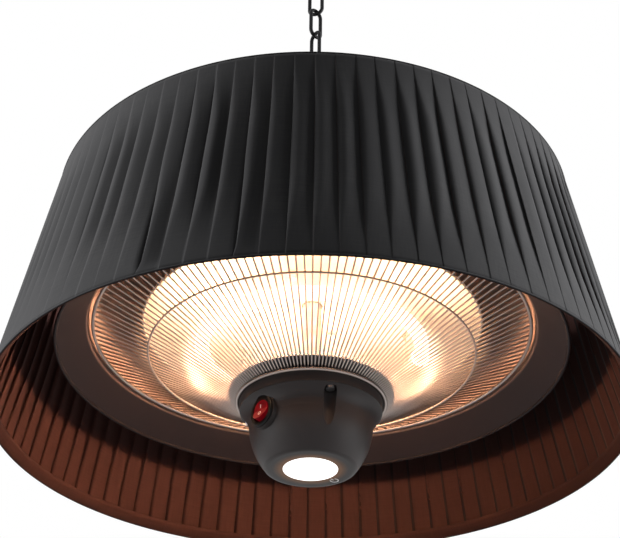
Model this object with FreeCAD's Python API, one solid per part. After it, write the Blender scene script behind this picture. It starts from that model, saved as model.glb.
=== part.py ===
"""Ceiling patio heater: a radiant ring under a spun hood, inside a pleated shade, hung on a chain.

Millimetres, +Z up. The origin is the middle of the ceiling plate's mounting face, and the front of
the heater looks towards -Y. Heights of the heater's own pieces are measured from the plane of the
shade's bottom rim, and every piece of it is lowered to its place under the chain when it is saved.
Azimuths are degrees from the front towards +X.
"""
import FreeCAD, Part
import math
import os

V = FreeCAD.Vector
ORIGIN = V(0, 0, 0)
UP = V(0, 0, 1)

# Clearances
weld_gap = 0.05           # round pieces that are welded, crimped or sewn to one another
slip_fit = 0.1            # radial room round a piece in its hole
chain_play = 0.3          # between the wires of two links
pivot_fit = 0.05          # radial room round the rocker's pivot pins

# Ceiling plate and hook
plate_length = 70.0
plate_width = 24.0
plate_thickness = 3.0
plate_hole_radius = 2.5
plate_hole_inset = 10.0   # from the plate's ends
hook_rod_radius = 3.0
hook_bowl_radius = 10.0   # to the middle of the rod
hook_shank_length = 13.0
hook_neck_turn = 50.0
hook_bowl_turn = 255.0
hook_yaw = -5.0

# Chain, top link first
link_wire_radius = 1.8
link_width = 16.5
link_inside_length = 29.65
link_yaws = (85, -20, 45, -55, 35, -55, 35, -55, 35, -55, 35)

# Eye bolt on the heater
eye_wire_radius = 2.5
eye_inner_radius = 8.0
eye_root = 1.0            # depth of the ring in its shoulder
eye_shoulder_radius = 7.0
eye_shoulder_height = 2.5
eye_shank_radius = 3.0
eye_yaw = -55.0
eye_washer_radius = 7.0
eye_washer_thickness = 0.8
eye_nut_flats = 10.0
eye_nut_height = 4.0
thread_end = 0.5          # length of a screw that shows beyond its nut

# Junction box on the hood
cover_height = 17.2
cover_wall = 1.6
cover_room = 0.86         # between the terminal block's corners and the wall
cover_roof = 2.0
cover_edge = 2.5
cover_flange_width = 11.0
cover_screw_radius = 2.0
cover_screw_count = 3
cover_screw_azimuth = 30.0
cover_screw_head_radius = 3.6
cover_screw_head_height = 2.4
cover_nut_flats = 7.0
cover_nut_height = 3.2
gland_room = 1.24         # between the gland's nut and the cover's edge
gland_bore_radius = 3.5
gland_thread_radius = 6.0
gland_flats = 15.0
gland_hex_height = 4.0
gland_shoulder = 0.8      # from the flats in to the dome
gland_dome_height = 8.0
gland_dome_round = 3.0
gland_thread_length = 8.0
gland_nut_height = 3.0
block_length = 30.0
block_width = 10.0
block_height = 11.0
block_offset = 25.0
supply_wire_radius = 1.0
supply_wire_pitch = 2.6
supply_wire_bend = 4.0

# Hood
hood_lip_radius = 213.7
hood_lip_height = 64.2
hood_brim_width = 25.7
hood_brim_rise = 20.3
hood_brim_lap = 0.3       # brim's sheet above the mouth, inside the crown's
hood_shoulder_width = 76.0
hood_crown_height = 65.5
hood_sheet = 1.2
hood_bead_radius = 1.6

# Shade
shade_room = 46.3         # from the hood's lip out to the shade's bottom rim
shade_lean = 36.6         # top rim drawn in from the bottom rim
shade_height = 207.4
shade_cloth = 0.9
shade_binding = 0.5
pleat_count = 92
pleat_step_at_rims = 0.9
pleat_step_when_open = 3.0
pleat_open_from = 0.3     # share of the height at which the pleats stand fully open
pleat_open_to = 0.68
binding_width_top = 4.0
binding_width_bottom = 2.5
top_ring_wire_radius = 2.0
bottom_ring_wire_radius = 1.2
bottom_ring_rise = 7.0    # above the bottom rim
spider_hub_thickness = 2.0
spider_arm_radius = 2.5
spider_arm_count = 3
spider_arm_azimuth = 90.0
spider_arm_gap = 2.5      # from the junction box's flange to the arms
spider_arm_weld = 6.5     # length of an arm on the hub plate
spider_arm_foot = 18.0
spider_arm_bend = 30.0

# Reflector and heating ring
reflector_margin = 46.0   # from the hood's mouth in to the reflector's rim
reflector_rise = 9.5      # rim above the hood's mouth
reflector_shoulder_width = 80.0
reflector_depth = 24.0
reflector_hole_radius = 9.0
reflector_sheet = 0.8
reflector_bead_radius = 1.2
post_count = 4
post_azimuth = 70.0
post_inset = 12.0         # from the edge of the reflector's flat
post_radius = 4.0
post_screw_radius = 2.0
post_screw_depth = 8.0
post_screw_head_radius = 3.6
post_screw_head_height = 2.2
tube_inset = 50.0         # from the reflector's rim in to the heating ring
tube_drop = 20.0          # heating ring below the reflector's rim
tube_radius = 6.0
tube_wall = 1.0
tube_gap_azimuth = 111.0  # middle of the gap between the ring's ends
filament_radius = 1.6
cap_radius = 8.0
cap_solid_length = 9.0
cap_socket_length = 8.2
lead_inset = 4.0          # from the ends of the terminal block
lead_radius = 1.2
lead_bend = 8.0
lead_hole_radius = 2.5
clip_azimuths = (150, 185, 220)
clip_wall = 0.9
clip_width = 6.0

# Guard
guard_mouth_gap = 4.0     # from the hood's mouth in to the outer ring
guard_outer_rise = 0.2
guard_outer_wire_radius = 1.5
guard_mid_inset = 46.7
guard_bow = 3.7           # middle ring above a straight line between the other two
guard_mid_wire_radius = 0.9
guard_inner_drop = 1.2    # below the top of the pod, round its flange
guard_inner_wire_radius = 1.5
guard_wire_radius = 0.75
guard_wire_count = 144
guard_outer_overhang = 2.0
guard_inner_overhang = 0.5
guard_clip_count = 4
guard_clip_azimuth = 45.0
guard_clip_wall = 0.8
guard_clip_width = 4.0
guard_clip_height = 7.0

# Stem and heat shield in the middle
stem_radius = 8.0
stem_bore_radius = 6.0
stem_nut_flats = 22.0
stem_nut_height = 3.5
stem_drop = 6.8           # stem end below the underside of the pod's top plate
shield_radius = 68.0
shield_clearance = 0.4    # above the guard wires
shield_sheet = 1.0
spacer_radius = 12.0

# Pod
pod_top_height = 25.3
pod_band_height = 9.7
pod_flange_radius = 59.3
pod_flange_taper = 1.2
pod_edge = 1.0
pod_wall = 2.4
pod_shoulder_inset = 1.8  # each of these is measured from the one above it
pod_waist_inset = 6.6
pod_belly_inset = 0.9
pod_lower_inset = 3.4
pod_waist_drop = 11.6
pod_belly_drop = 5.0
pod_lower_drop = 15.0
pod_chin_drop = 16.6
pod_floor_drop = 1.4
pod_chin_width = 3.9
pod_floor_room = 0.4      # between the board's posts and the bowl's inner round
pod_flare_share = 0.33    # of the shoulder's overhang that is left half-way down to the waist
groove_azimuth = 16.5
groove_count = 3
groove_radius = 5.4
groove_reach = 1.9        # middle of a groove beyond the belly
groove_cap = 1.5          # wall between a groove and the seam
groove_wall = 1.6
pod_screw_radius = 2.0
pod_screw_head_radius = 3.6
pod_screw_head_height = 2.4
pod_boss_radius = 4.5
lens_radius = 22.0
lens_crown = 0.7
lens_lip = 2.5
lens_lip_height = 1.5
led_board_margin = 0.9    # board beyond its posts
led_board_gap = 5.6       # between the bowl's floor and the board
board_thickness = 1.6
led_post_gap = 1.3        # between the lens and the posts
led_post_radius = 2.4
led_post_count = 3
led_chip_size = 5.0
led_chip_height = 1.2
led_chip_count = 6
led_chip_circle_radius = 14.0
control_board_length = 64.0
control_board_width = 44.0
control_board_drop = 9.2  # below the pod's top plate
board_post_radius = 3.0
board_post_inset = 5.0
relay_size = (18.0, 12.0, 9.0)
relay_place = (17.0, 9.0)
capacitor_radius = 5.0
capacitor_height = 8.0
capacitor_places = ((18.0, -10.0), (-4.0, 14.0))

# Rocker switch
switch_azimuth = -48.0
switch_rise = 0.5         # above the pod's belly
switch_pad_radius = 13.6
switch_pad_rise = 1.6     # flat face of the pad beyond the belly
switch_pad_depth = 4.8
switch_bezel_radius = 12.5
switch_bezel_height = 2.0
switch_bezel_edge = 0.7
switch_body_radius = 10.9
switch_body_depth = 16.0
switch_cavity_radius = 9.5
switch_cavity_depth = 9.0
terminal_width = 6.3
terminal_thickness = 0.8
terminal_length = 8.0
terminal_pitch = 6.0
rocker_radius = 8.3
rocker_pivot_depth = 1.5
rocker_front_edge = 3.5
rocker_front_middle = 2.0
rocker_back_edge = 2.0
rocker_back_middle = 5.0
rocker_tilt = 10.0        # either way from level
rocker_pin_radius = 1.2
rocker_pin_reach = 10.4

# Outlines that follow from the hood's lip
hood_mouth_radius = hood_lip_radius - hood_brim_width
hood_mouth_height = hood_lip_height + hood_brim_rise
hood_roof_radius = hood_mouth_radius - hood_shoulder_width
hood_roof_height = hood_mouth_height + hood_crown_height
shade_bottom_radius = hood_lip_radius + shade_room
shade_slope = -shade_lean / shade_height
reflector_rim_radius = hood_mouth_radius - reflector_margin
reflector_rim_height = hood_mouth_height + reflector_rise
reflector_flat_radius = reflector_rim_radius - reflector_shoulder_width
reflector_flat_height = reflector_rim_height + reflector_depth
post_circle_radius = reflector_flat_radius - post_inset
tube_ring_radius = reflector_rim_radius - tube_inset
tube_height = reflector_rim_height - tube_drop

# Heights that follow from the stack on the hood's roof
roof_underside = hood_roof_height - hood_sheet
hub_top = hood_roof_height + spider_hub_thickness
cover_top = hub_top + cover_height
eye_shank_end = cover_top - cover_roof - eye_washer_thickness - eye_nut_height - thread_end
eye_ring_radius = eye_inner_radius + eye_wire_radius
eye_centre_height = cover_top + eye_shoulder_height + eye_ring_radius + eye_wire_radius - eye_root
eye_crown_height = eye_centre_height + eye_ring_radius
pivot_height = eye_crown_height - eye_wire_radius - link_wire_radius - chain_play
arm_level = hub_top + spider_arm_radius + weld_gap
stem_top = hub_top + stem_nut_height + thread_end
stem_hole_radius = stem_radius + slip_fit
supply_level = (stem_top + eye_shank_end) / 2
lead_level = (reflector_flat_height + roof_underside) / 2

# Places in and round the junction box
cover_radius = math.hypot(block_length / 2, block_offset + block_width / 2) + cover_room + cover_wall
cover_screw_circle_radius = cover_radius + cover_flange_width / 2
gland_offset = cover_radius - cover_wall - cover_edge - gland_flats / math.sqrt(3) - gland_room
spider_arm_start = cover_radius + cover_flange_width + spider_arm_gap
spider_hub_radius = spider_arm_start + spider_arm_weld
lead_side = block_length / 2 - lead_inset

# Ends of the heating ring, as angles from the middle of its gap
lead_angle = math.degrees(math.asin(lead_side / tube_ring_radius))
cap_first_angle = lead_angle - math.degrees(cap_solid_length / 2 / tube_ring_radius)
tube_end_angle = lead_angle + math.degrees(cap_solid_length / 2 / tube_ring_radius)
cap_last_angle = tube_end_angle + math.degrees(cap_socket_length / tube_ring_radius)

# Places of the ceiling fitting and the chain, from the top down
plate_hole_spacing = plate_length - 2 * plate_hole_inset
hook_neck = math.radians(hook_neck_turn)
hook_neck_radius = hook_bowl_radius * math.cos(hook_neck) / (1 - math.cos(hook_neck))
hook_shank_end = -plate_thickness - hook_shank_length
hook_bowl_z = hook_shank_end - (hook_neck_radius + hook_bowl_radius) * math.sin(hook_neck)
hook_bottom_z = hook_bowl_z - hook_bowl_radius
link_length = link_inside_length + 2 * link_wire_radius   # between the middles of its end wires
link_pitch = link_inside_length - chain_play
first_link_top_z = hook_bottom_z + hook_rod_radius + link_wire_radius + chain_play
link_bottoms_z = [first_link_top_z - link_length - k * link_pitch for k in range(len(link_yaws))]
rim_z = link_bottoms_z[-1] - pivot_height

# Outline of the pod and places inside it
plate_underside = pod_top_height - pod_wall
stem_bottom = plate_underside - stem_drop
control_board_top = plate_underside - control_board_drop
pod_seam_height = pod_top_height - pod_band_height
pod_waist_height = pod_seam_height - pod_waist_drop
pod_belly_height = pod_waist_height - pod_belly_drop
pod_lower_height = pod_belly_height - pod_lower_drop
pod_chin_height = pod_lower_height - pod_chin_drop
pod_floor_height = pod_chin_height - pod_floor_drop
pod_floor_top = pod_floor_height + pod_wall
led_board_z = pod_floor_top + led_board_gap
led_post_circle_radius = lens_radius + lens_lip + led_post_gap + led_post_radius
led_board_radius = led_post_circle_radius + led_post_radius + led_board_margin
pod_shoulder_radius = pod_flange_radius - pod_shoulder_inset
pod_waist_radius = pod_shoulder_radius - pod_waist_inset
pod_belly_radius = pod_waist_radius - pod_belly_inset
pod_lower_radius = pod_belly_radius - pod_lower_inset
pod_floor_radius = led_post_circle_radius + led_post_radius + pod_floor_room + pod_wall
pod_chin_radius = pod_floor_radius + pod_chin_width
groove_circle_radius = pod_belly_radius + groove_reach
groove_top = pod_seam_height - groove_cap
switch_height = pod_belly_height + switch_rise
switch_pad_reach = pod_belly_radius + switch_pad_rise

# Rings of the guard
guard_outer_radius = hood_mouth_radius - hood_sheet - guard_mouth_gap
guard_outer_height = hood_mouth_height + guard_outer_rise
guard_inner_radius = pod_flange_radius + guard_inner_wire_radius + weld_gap
guard_inner_height = pod_top_height - guard_inner_drop
guard_mid_radius = guard_outer_radius - guard_mid_inset
guard_lean = math.atan2(guard_outer_height - guard_inner_height, guard_outer_radius - guard_inner_radius)
guard_mid_height = guard_outer_height - guard_mid_inset * math.tan(guard_lean) + guard_bow


# Points and simple solids

def section(radius, z):
    """Point of a half section in the plane that is spun about the Z axis."""
    return V(radius, 0, z)


def polar(radius, azimuth, z):
    """Point at an azimuth from the front (-Y) towards +X."""
    angle = math.radians(azimuth)
    return V(radius * math.sin(angle), -radius * math.cos(angle), z)


def turned(shape, azimuth):
    """Copy of a shape turned about the heater's axis, from +X to the given azimuth."""
    return shape.rotated(ORIGIN, UP, azimuth - 90)


def around(shape, count, first):
    """Evenly spaced copies about the heater's axis of a shape that was made on +X."""
    return [turned(shape, first + 360 * k / count) for k in range(count)]


def polygon_face(points):
    """Flat face inside straight edges through section points."""
    corners = [section(*p) for p in points]
    return Part.Face(Part.makePolygon(corners + corners[:1]))


def line(start, end):
    return Part.LineSegment(section(*start), section(*end)).toShape()


def arc(start, middle, end):
    return Part.Arc(section(*start), section(*middle), section(*end)).toShape()


def spun(face):
    """Solid of a section face spun once about the Z axis."""
    return face.revolve(ORIGIN, UP, 360)


def disc(radius, centre, normal):
    return Part.Face(Part.Wire(Part.makeCircle(radius, centre, normal)))


def pillar(radius, low, high, x=0.0, y=0.0):
    return Part.makeCylinder(radius, high - low, V(x, y, low))


def x_pillar(radius, back, front):
    """Cylinder along the X axis."""
    return Part.makeCylinder(radius, front - back, V(back, 0, 0), V(1, 0, 0))


def sleeve(outer, inner, low, high):
    return pillar(outer, low, high).cut(pillar(inner, low, high))


def wire_ring(radius, z, wire):
    return Part.makeTorus(radius, wire, V(0, 0, z))


def block(sizes, middle):
    """Box of the given sizes about its middle point."""
    corner = V(*[m - s / 2 for m, s in zip(middle, sizes)])
    return Part.makeBox(*sizes, corner)


def hex_prism(flats, low, high):
    corner = V(flats / math.sqrt(3), 0, low)
    corners = [FreeCAD.Rotation(UP, 60 * k).multVec(corner) for k in range(6)]
    return Part.Face(Part.makePolygon(corners + corners[:1])).extrude(V(0, 0, high - low))


def hex_nut(flats, bore, low, high):
    return hex_prism(flats, low, high).cut(pillar(bore, low, high))


def cheese_screw(radius, head_radius, head_height, seat, end):
    """Screw on the Z axis, its head beyond the seat on the side away from its end."""
    head_end = seat + math.copysign(head_height, seat - end)
    head = pillar(head_radius, min(seat, head_end), max(seat, head_end))
    return head.fuse(pillar(radius, min(seat, end), max(seat, end))).removeSplitter()


def bent_rod(points, bend, radius):
    """Round rod along straight runs that are joined by tangent arcs of one bend radius."""
    edges = []
    start = points[0]
    for before, corner, after in zip(points, points[1:], points[2:]):
        back = (before - corner).normalize()
        ahead = (after - corner).normalize()
        half = back.getAngle(ahead) / 2
        reach = bend / math.tan(half)
        inward = (back + ahead).normalize()
        arc_start = corner + back * reach
        arc_end = corner + ahead * reach
        arc_middle = corner + inward * (bend / math.sin(half) - bend)
        edges.append(Part.LineSegment(start, arc_start).toShape())
        edges.append(Part.Arc(arc_start, arc_middle, arc_end).toShape())
        start = arc_end
    edges.append(Part.LineSegment(start, points[-1]).toShape())
    profile = Part.Wire(Part.makeCircle(radius, points[0], points[1] - points[0]))
    return Part.Wire(edges).makePipeShell([profile], True, True)


def dome_radius(edge_radius, edge_z, flat_radius, flat_z):
    """Radius of the round shoulder that starts at an edge and runs level into a flat top."""
    run = edge_radius - flat_radius
    rise = flat_z - edge_z
    return (run * run + rise * rise) / (2 * rise)


def dome_face(edge_radius, edge_z, flat_radius, flat_z, hole_radius, sheet):
    """Section of a sheet dome: a round shoulder from its edge up to a flat top with a hole."""
    bend = dome_radius(edge_radius, edge_z, flat_radius, flat_z)
    centre_z = flat_z - bend
    low = math.atan2(edge_z - centre_z, edge_radius - flat_radius)
    middle = (low + math.pi / 2) / 2

    def on_shoulder(angle, inset):
        reach = bend - inset
        return (flat_radius + reach * math.cos(angle), centre_z + reach * math.sin(angle))

    top = math.pi / 2
    edges = [
        arc(on_shoulder(low, 0), on_shoulder(middle, 0), on_shoulder(top, 0)),
        line(on_shoulder(top, 0), (hole_radius, flat_z)),
        line((hole_radius, flat_z), (hole_radius, flat_z - sheet)),
        line((hole_radius, flat_z - sheet), on_shoulder(top, sheet)),
        arc(on_shoulder(top, sheet), on_shoulder(middle, sheet), on_shoulder(low, sheet)),
        line(on_shoulder(low, sheet), on_shoulder(low, 0)),
    ]
    return Part.Face(Part.Wire(edges))


def dome_height(radius, edge_radius, edge_z, flat_radius, flat_z, sheet):
    """Height of the underside of a sheet dome at a radius on its shoulder."""
    bend = dome_radius(edge_radius, edge_z, flat_radius, flat_z)
    return flat_z - bend + math.sqrt((bend - sheet) ** 2 - (radius - flat_radius) ** 2)


def crown_radius(z):
    """Inner radius of the hood's round shoulder at a height."""
    bend = dome_radius(hood_mouth_radius, hood_mouth_height, hood_roof_radius, hood_roof_height)
    drop = z - (hood_roof_height - bend)
    return hood_roof_radius + math.sqrt((bend - hood_sheet) ** 2 - drop * drop)


# Ceiling fitting and chain

def ceiling_plate():
    """Flat plate with round ends and a screw hole near each end."""
    middle = block((plate_width, plate_length - plate_width, plate_thickness), (0, 0, -plate_thickness / 2))
    ends = []
    holes = []
    for side in (1, -1):
        ends.append(pillar(plate_width / 2, -plate_thickness, 0, 0, side * (plate_length - plate_width) / 2))
        holes.append(pillar(plate_hole_radius, -plate_thickness, 0, 0, side * plate_hole_spacing / 2))
    return middle.fuse(ends).removeSplitter().cut(holes)


def ceiling_hook():
    """Bent rod: a shank on the axis, a neck to one side, and a bowl with its bottom on the axis."""
    def on_circle(centre_x, centre_z, radius, degrees):
        angle = math.radians(degrees)
        return (centre_x + radius * math.cos(angle), centre_z + radius * math.sin(angle))

    neck = [on_circle(hook_neck_radius, hook_shank_end, hook_neck_radius, 180 + hook_neck_turn * s)
            for s in (0, 0.5, 1)]
    bowl = [on_circle(0, hook_bowl_z, hook_bowl_radius, hook_neck_turn - hook_bowl_turn * s)
            for s in (0, 0.5, 1)]
    path = Part.Wire([line((0, -plate_thickness), neck[0]), arc(*neck), arc(*bowl)])
    profile = Part.Wire(Part.makeCircle(hook_rod_radius, section(0, -plate_thickness), V(0, 0, -1)))
    return path.makePipeShell([profile], True, True).rotated(ORIGIN, UP, hook_yaw)


def chain_link(bottom_z, yaw):
    """Oval wire link, its width turned by a yaw from the X axis."""
    bend = link_width / 2 - link_wire_radius
    low = bottom_z + bend
    high = bottom_z + link_length - bend
    crown = disc(link_wire_radius, V(bend, 0, high), UP).revolve(V(0, 0, high), V(0, -1, 0), 180)
    foot = disc(link_wire_radius, V(bend, 0, low), UP).revolve(V(0, 0, low), V(0, 1, 0), 180)
    sides = [pillar(link_wire_radius, low, high, side) for side in (bend, -bend)]
    link = crown.fuse([foot] + sides).removeSplitter()
    return link.rotated(ORIGIN, UP, yaw)


# Eye bolt and junction box

def eye_bolt():
    ring = Part.makeTorus(eye_ring_radius, eye_wire_radius, V(0, 0, eye_centre_height), V(0, 1, 0))
    shoulder = pillar(eye_shoulder_radius, cover_top, cover_top + eye_shoulder_height)
    shank = pillar(eye_shank_radius, eye_shank_end, cover_top)
    return ring.fuse([shoulder, shank]).removeSplitter().rotated(ORIGIN, UP, eye_yaw)


def eye_bolt_nut():
    """Washer and nut under the cover's roof."""
    seat = cover_top - cover_roof
    bore = eye_shank_radius + slip_fit
    nut_top = seat - eye_washer_thickness
    washer = sleeve(eye_washer_radius, bore, nut_top, seat)
    return [washer, hex_nut(eye_nut_flats, bore, nut_top - eye_nut_height, nut_top)]


def at_cover_screws(shape):
    """Copies of a shape, made on the Z axis, at the screws of the cover."""
    moved = shape.translated(V(cover_screw_circle_radius, 0, 0))
    return around(moved, cover_screw_count, cover_screw_azimuth)


def cover_holes(low, high):
    """Drills for the screws of the cover, through whatever lies between two heights."""
    return at_cover_screws(pillar(cover_screw_radius + slip_fit, low, high))


def lead_holes(low, high):
    """Drills for the leads of the heating ring, on both sides of the terminal block."""
    return [pillar(lead_hole_radius, low, high, side, block_offset) for side in (lead_side, -lead_side)]


def top_cover():
    inner = cover_radius - cover_wall
    rim = cover_radius + cover_flange_width
    hole = eye_shank_radius + slip_fit
    shell = spun(polygon_face([
        (rim, hub_top), (rim, hub_top + cover_wall), (cover_radius, hub_top + cover_wall),
        (cover_radius, cover_top - cover_edge), (cover_radius - cover_edge, cover_top), (hole, cover_top),
        (hole, cover_top - cover_roof), (inner - cover_edge, cover_top - cover_roof),
        (inner, cover_top - cover_roof - cover_edge), (inner, hub_top),
    ]))
    gland_hole = pillar(gland_thread_radius + slip_fit, hub_top, cover_top, gland_offset)
    return shell.cut([gland_hole] + cover_holes(hub_top, cover_top))


def cover_screws():
    end = roof_underside - cover_nut_height - thread_end
    screw = cheese_screw(cover_screw_radius, cover_screw_head_radius, cover_screw_head_height,
                         hub_top + cover_wall, end)
    return at_cover_screws(screw)


def cover_nuts():
    nut = hex_nut(cover_nut_flats, cover_screw_radius + slip_fit, roof_underside - cover_nut_height,
                  roof_underside)
    return at_cover_screws(nut)


def cable_gland():
    """Gland with a hexagon, a domed cap and a thread through the cover's roof."""
    hex_top = cover_top + gland_hex_height
    dome_top = hex_top + gland_dome_height
    foot = gland_flats / 2 - gland_shoulder
    side_top = dome_top - gland_dome_round
    head = foot - gland_dome_round
    diagonal = gland_dome_round / math.sqrt(2)
    dome = spun(Part.Face(Part.Wire([
        line((0, hex_top), (foot, hex_top)),
        line((foot, hex_top), (foot, side_top)),
        arc((foot, side_top), (head + diagonal, side_top + diagonal), (head, dome_top)),
        line((head, dome_top), (0, dome_top)),
        line((0, dome_top), (0, hex_top)),
    ])))
    thread_low = cover_top - gland_thread_length
    thread = pillar(gland_thread_radius, thread_low, cover_top)
    body = hex_prism(gland_flats, cover_top, hex_top).fuse([dome, thread]).removeSplitter()
    return body.cut(pillar(gland_bore_radius, thread_low, dome_top)).translated(V(gland_offset, 0, 0))


def gland_nut():
    seat = cover_top - cover_roof
    nut = hex_nut(gland_flats, gland_thread_radius + slip_fit, seat - gland_nut_height, seat)
    return nut.translated(V(gland_offset, 0, 0))


def terminal_block():
    return block((block_length, block_width, block_height), (0, block_offset, hub_top + block_height / 2))


def supply_wires():
    """Wires from the terminal block over the top of the stem and down to the control board."""
    face = block_offset - block_width / 2
    wires = []
    for k in (-1, 0, 1):
        x = k * supply_wire_pitch
        route = [V(x, face, supply_level), V(x, 0, supply_level), V(x, 0, control_board_top)]
        wires.append(bent_rod(route, supply_wire_bend, supply_wire_radius))
    return wires


# Hood and the carrier of the shade

def hood():
    """Spun hood: a round crown with a flat roof, a sloping brim and a rolled lip."""
    crown = dome_face(hood_mouth_radius, hood_mouth_height, hood_roof_radius, hood_roof_height,
                      stem_hole_radius, hood_sheet)
    run = hood_lip_radius - hood_bead_radius - hood_mouth_radius
    fall = hood_mouth_height - hood_lip_height - hood_bead_radius
    length = math.hypot(run, fall)
    side = (-fall / length * hood_sheet, -run / length * hood_sheet)
    mouth = (hood_mouth_radius, hood_mouth_height)
    lip = (hood_mouth_radius + run, hood_mouth_height - fall)
    under_mouth = (mouth[0] + side[0], mouth[1] + side[1])
    under_lip = (lip[0] + side[0], lip[1] + side[1])
    lap = (under_mouth[0], hood_mouth_height + hood_brim_lap)
    brim = polygon_face([mouth, lip, under_lip, under_mouth, lap])
    bead = disc(hood_bead_radius, section(lip[0] + side[0] / 2, lip[1] + side[1] / 2), V(0, 1, 0))
    sheet = spun(crown).fuse([spun(brim), spun(bead)]).removeSplitter()
    return sheet.cut(cover_holes(roof_underside, hood_roof_height)
                     + lead_holes(roof_underside, hood_roof_height))


def spider_hub():
    plate = sleeve(spider_hub_radius, stem_hole_radius, hood_roof_height, hub_top)
    return plate.cut(cover_holes(hood_roof_height, hub_top) + lead_holes(hood_roof_height, hub_top))


def top_ring_place():
    """Radius and height of the shade's top ring, inside the cloth and under its binding."""
    z = shade_height - shade_binding - weld_gap - top_ring_wire_radius
    return cloth_inside(z) - weld_gap - top_ring_wire_radius, z


def spider_arms():
    """Bent rods from the hub plate up to the inside of the shade's top ring."""
    ring_radius, ring_z = top_ring_place()
    bend_at = V(spider_arm_start + spider_arm_foot, 0, arm_level)
    to_ring = V(ring_radius, 0, ring_z) - bend_at
    reach = to_ring.Length - top_ring_wire_radius - weld_gap
    end = bend_at + to_ring.normalize() * reach
    arm = bent_rod([V(spider_arm_start, 0, arm_level), bend_at, end], spider_arm_bend, spider_arm_radius)
    return around(arm, spider_arm_count, spider_arm_azimuth)


# Shade

def shade_outside(z):
    """Radius of the pleats' free edges at a height."""
    return shade_bottom_radius - shade_binding - weld_gap + shade_slope * z


def cloth_height(share):
    """Height of a share of the way up the cloth."""
    edge = shade_binding + weld_gap
    return edge + (shade_height - 2 * edge) * share


def pleat_step(z):
    """Depth of the pleats at a height: pressed flat at both rims and open between them."""
    share = (z - cloth_height(0)) / (cloth_height(1) - cloth_height(0))
    opening = min(share / pleat_open_from, (1 - share) / (1 - pleat_open_to), 1)
    return pleat_step_at_rims + (pleat_step_when_open - pleat_step_at_rims) * opening


def cloth_inside(z):
    """Least radius inside the cloth at a height."""
    corners = shade_outside(z) - pleat_step(z) - shade_cloth
    return corners * math.cos(math.pi / pleat_count)


def pleat_wire(z, inset):
    """Saw-toothed ring: each pleat starts at its raised free edge and sinks towards the next one."""
    radius = shade_outside(z) - inset
    shift = math.degrees(inset / radius)
    points = []
    for k in range(pleat_count):
        azimuth = 360 * k / pleat_count + shift
        points.append(polar(radius - pleat_step(z), azimuth, z))
        points.append(polar(radius, azimuth, z))
    return Part.makePolygon(points + points[:1])


def shade_fabric():
    """Knife-pleated cone of cloth, pressed flat at both rims and open between them."""
    heights = [cloth_height(share) for share in (0, pleat_open_from, pleat_open_to, 1)]
    faces = []
    rims = []
    for inset in (0, shade_cloth):
        wires = [pleat_wire(z, inset) for z in heights]
        faces += Part.makeLoft(wires, False, True).Faces
        rims.append(wires)
    for end in (0, -1):
        faces.append(Part.Face([rims[0][end], rims[1][end]]))
    shell = Part.makeShell(faces)
    shell.sewShape()
    solid = Part.makeSolid(shell)
    if solid.Volume < 0:
        solid.reverse()
    return solid


def leaning_strip(inner, outer, low, high):
    """Ring strip whose sides lean with the shade; its radii are those at height zero of the cone."""
    return polygon_face([(inner + shade_slope * low, low), (outer + shade_slope * low, low),
                         (outer + shade_slope * high, high), (inner + shade_slope * high, high)])


def shade_top_binding():
    """Strip over the cloth's top edge and the top ring, turned down on the outside."""
    ring_radius, ring_z = top_ring_place()
    outer = shade_bottom_radius
    cloth = outer - shade_binding
    inner = ring_radius - top_ring_wire_radius - shade_slope * ring_z
    roof_z = shade_height - shade_binding
    skirt = leaning_strip(cloth, outer, shade_height - binding_width_top, shade_height)
    roof = leaning_strip(inner, cloth, roof_z, shade_height)
    return spun(skirt).fuse(spun(roof)).removeSplitter()


def bottom_ring_place():
    """Radius and height of the shade's bottom ring, inside the cloth."""
    z = bottom_ring_rise
    return cloth_inside(z) - weld_gap - bottom_ring_wire_radius, z


def shade_bottom_binding():
    """Strip folded over the cloth's bottom edge."""
    outer = shade_bottom_radius
    cloth = outer - shade_binding
    inside = cloth_inside(binding_width_bottom) - weld_gap - shade_slope * binding_width_bottom
    skirt = leaning_strip(cloth, outer, 0, binding_width_bottom)
    floor = leaning_strip(inside, cloth, 0, shade_binding)
    back = leaning_strip(inside - shade_binding, inside, 0, binding_width_bottom)
    return spun(skirt).fuse([spun(floor), spun(back)]).removeSplitter()


# Reflector and heating ring

def reflector_posts():
    post = pillar(post_radius, reflector_flat_height, roof_underside, post_circle_radius)
    hole = pillar(post_screw_radius + slip_fit, reflector_flat_height,
                  reflector_flat_height + post_screw_depth + thread_end, post_circle_radius)
    return around(post.cut(hole), post_count, post_azimuth)


def reflector():
    """Polished bowl with a rolled rim and a flat middle that is screwed to the posts."""
    bowl = dome_face(reflector_rim_radius, reflector_rim_height, reflector_flat_radius,
                     reflector_flat_height, reflector_hole_radius, reflector_sheet)
    bead = disc(reflector_bead_radius, section(reflector_rim_radius, reflector_rim_height), V(0, 1, 0))
    sheet = spun(bowl).fuse(spun(bead)).removeSplitter()
    low = reflector_rim_height
    drill = pillar(post_screw_radius + slip_fit, low, reflector_flat_height, post_circle_radius)
    leads = [pillar(lead_hole_radius, low, reflector_flat_height, *lead_foot(side)) for side in (1, -1)]
    return sheet.cut(around(drill, post_count, post_azimuth) + leads)


def reflector_screws():
    seat = reflector_flat_height - reflector_sheet
    screw = cheese_screw(post_screw_radius, post_screw_head_radius, post_screw_head_height,
                         seat, reflector_flat_height + post_screw_depth)
    return around(screw.translated(V(post_circle_radius, 0, 0)), post_count, post_azimuth)


def ring_stretch(radius, first, last):
    """Round bar along the heating ring's circle between two azimuths."""
    start = polar(tube_ring_radius, first, tube_height)
    along = polar(1, first + 90, 0)
    return disc(radius, start, along).revolve(ORIGIN, UP, last - first)


def glass_ends():
    """Azimuths of both ends of the glass, the long way round."""
    return tube_gap_azimuth + tube_end_angle, tube_gap_azimuth + 360 - tube_end_angle


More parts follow.
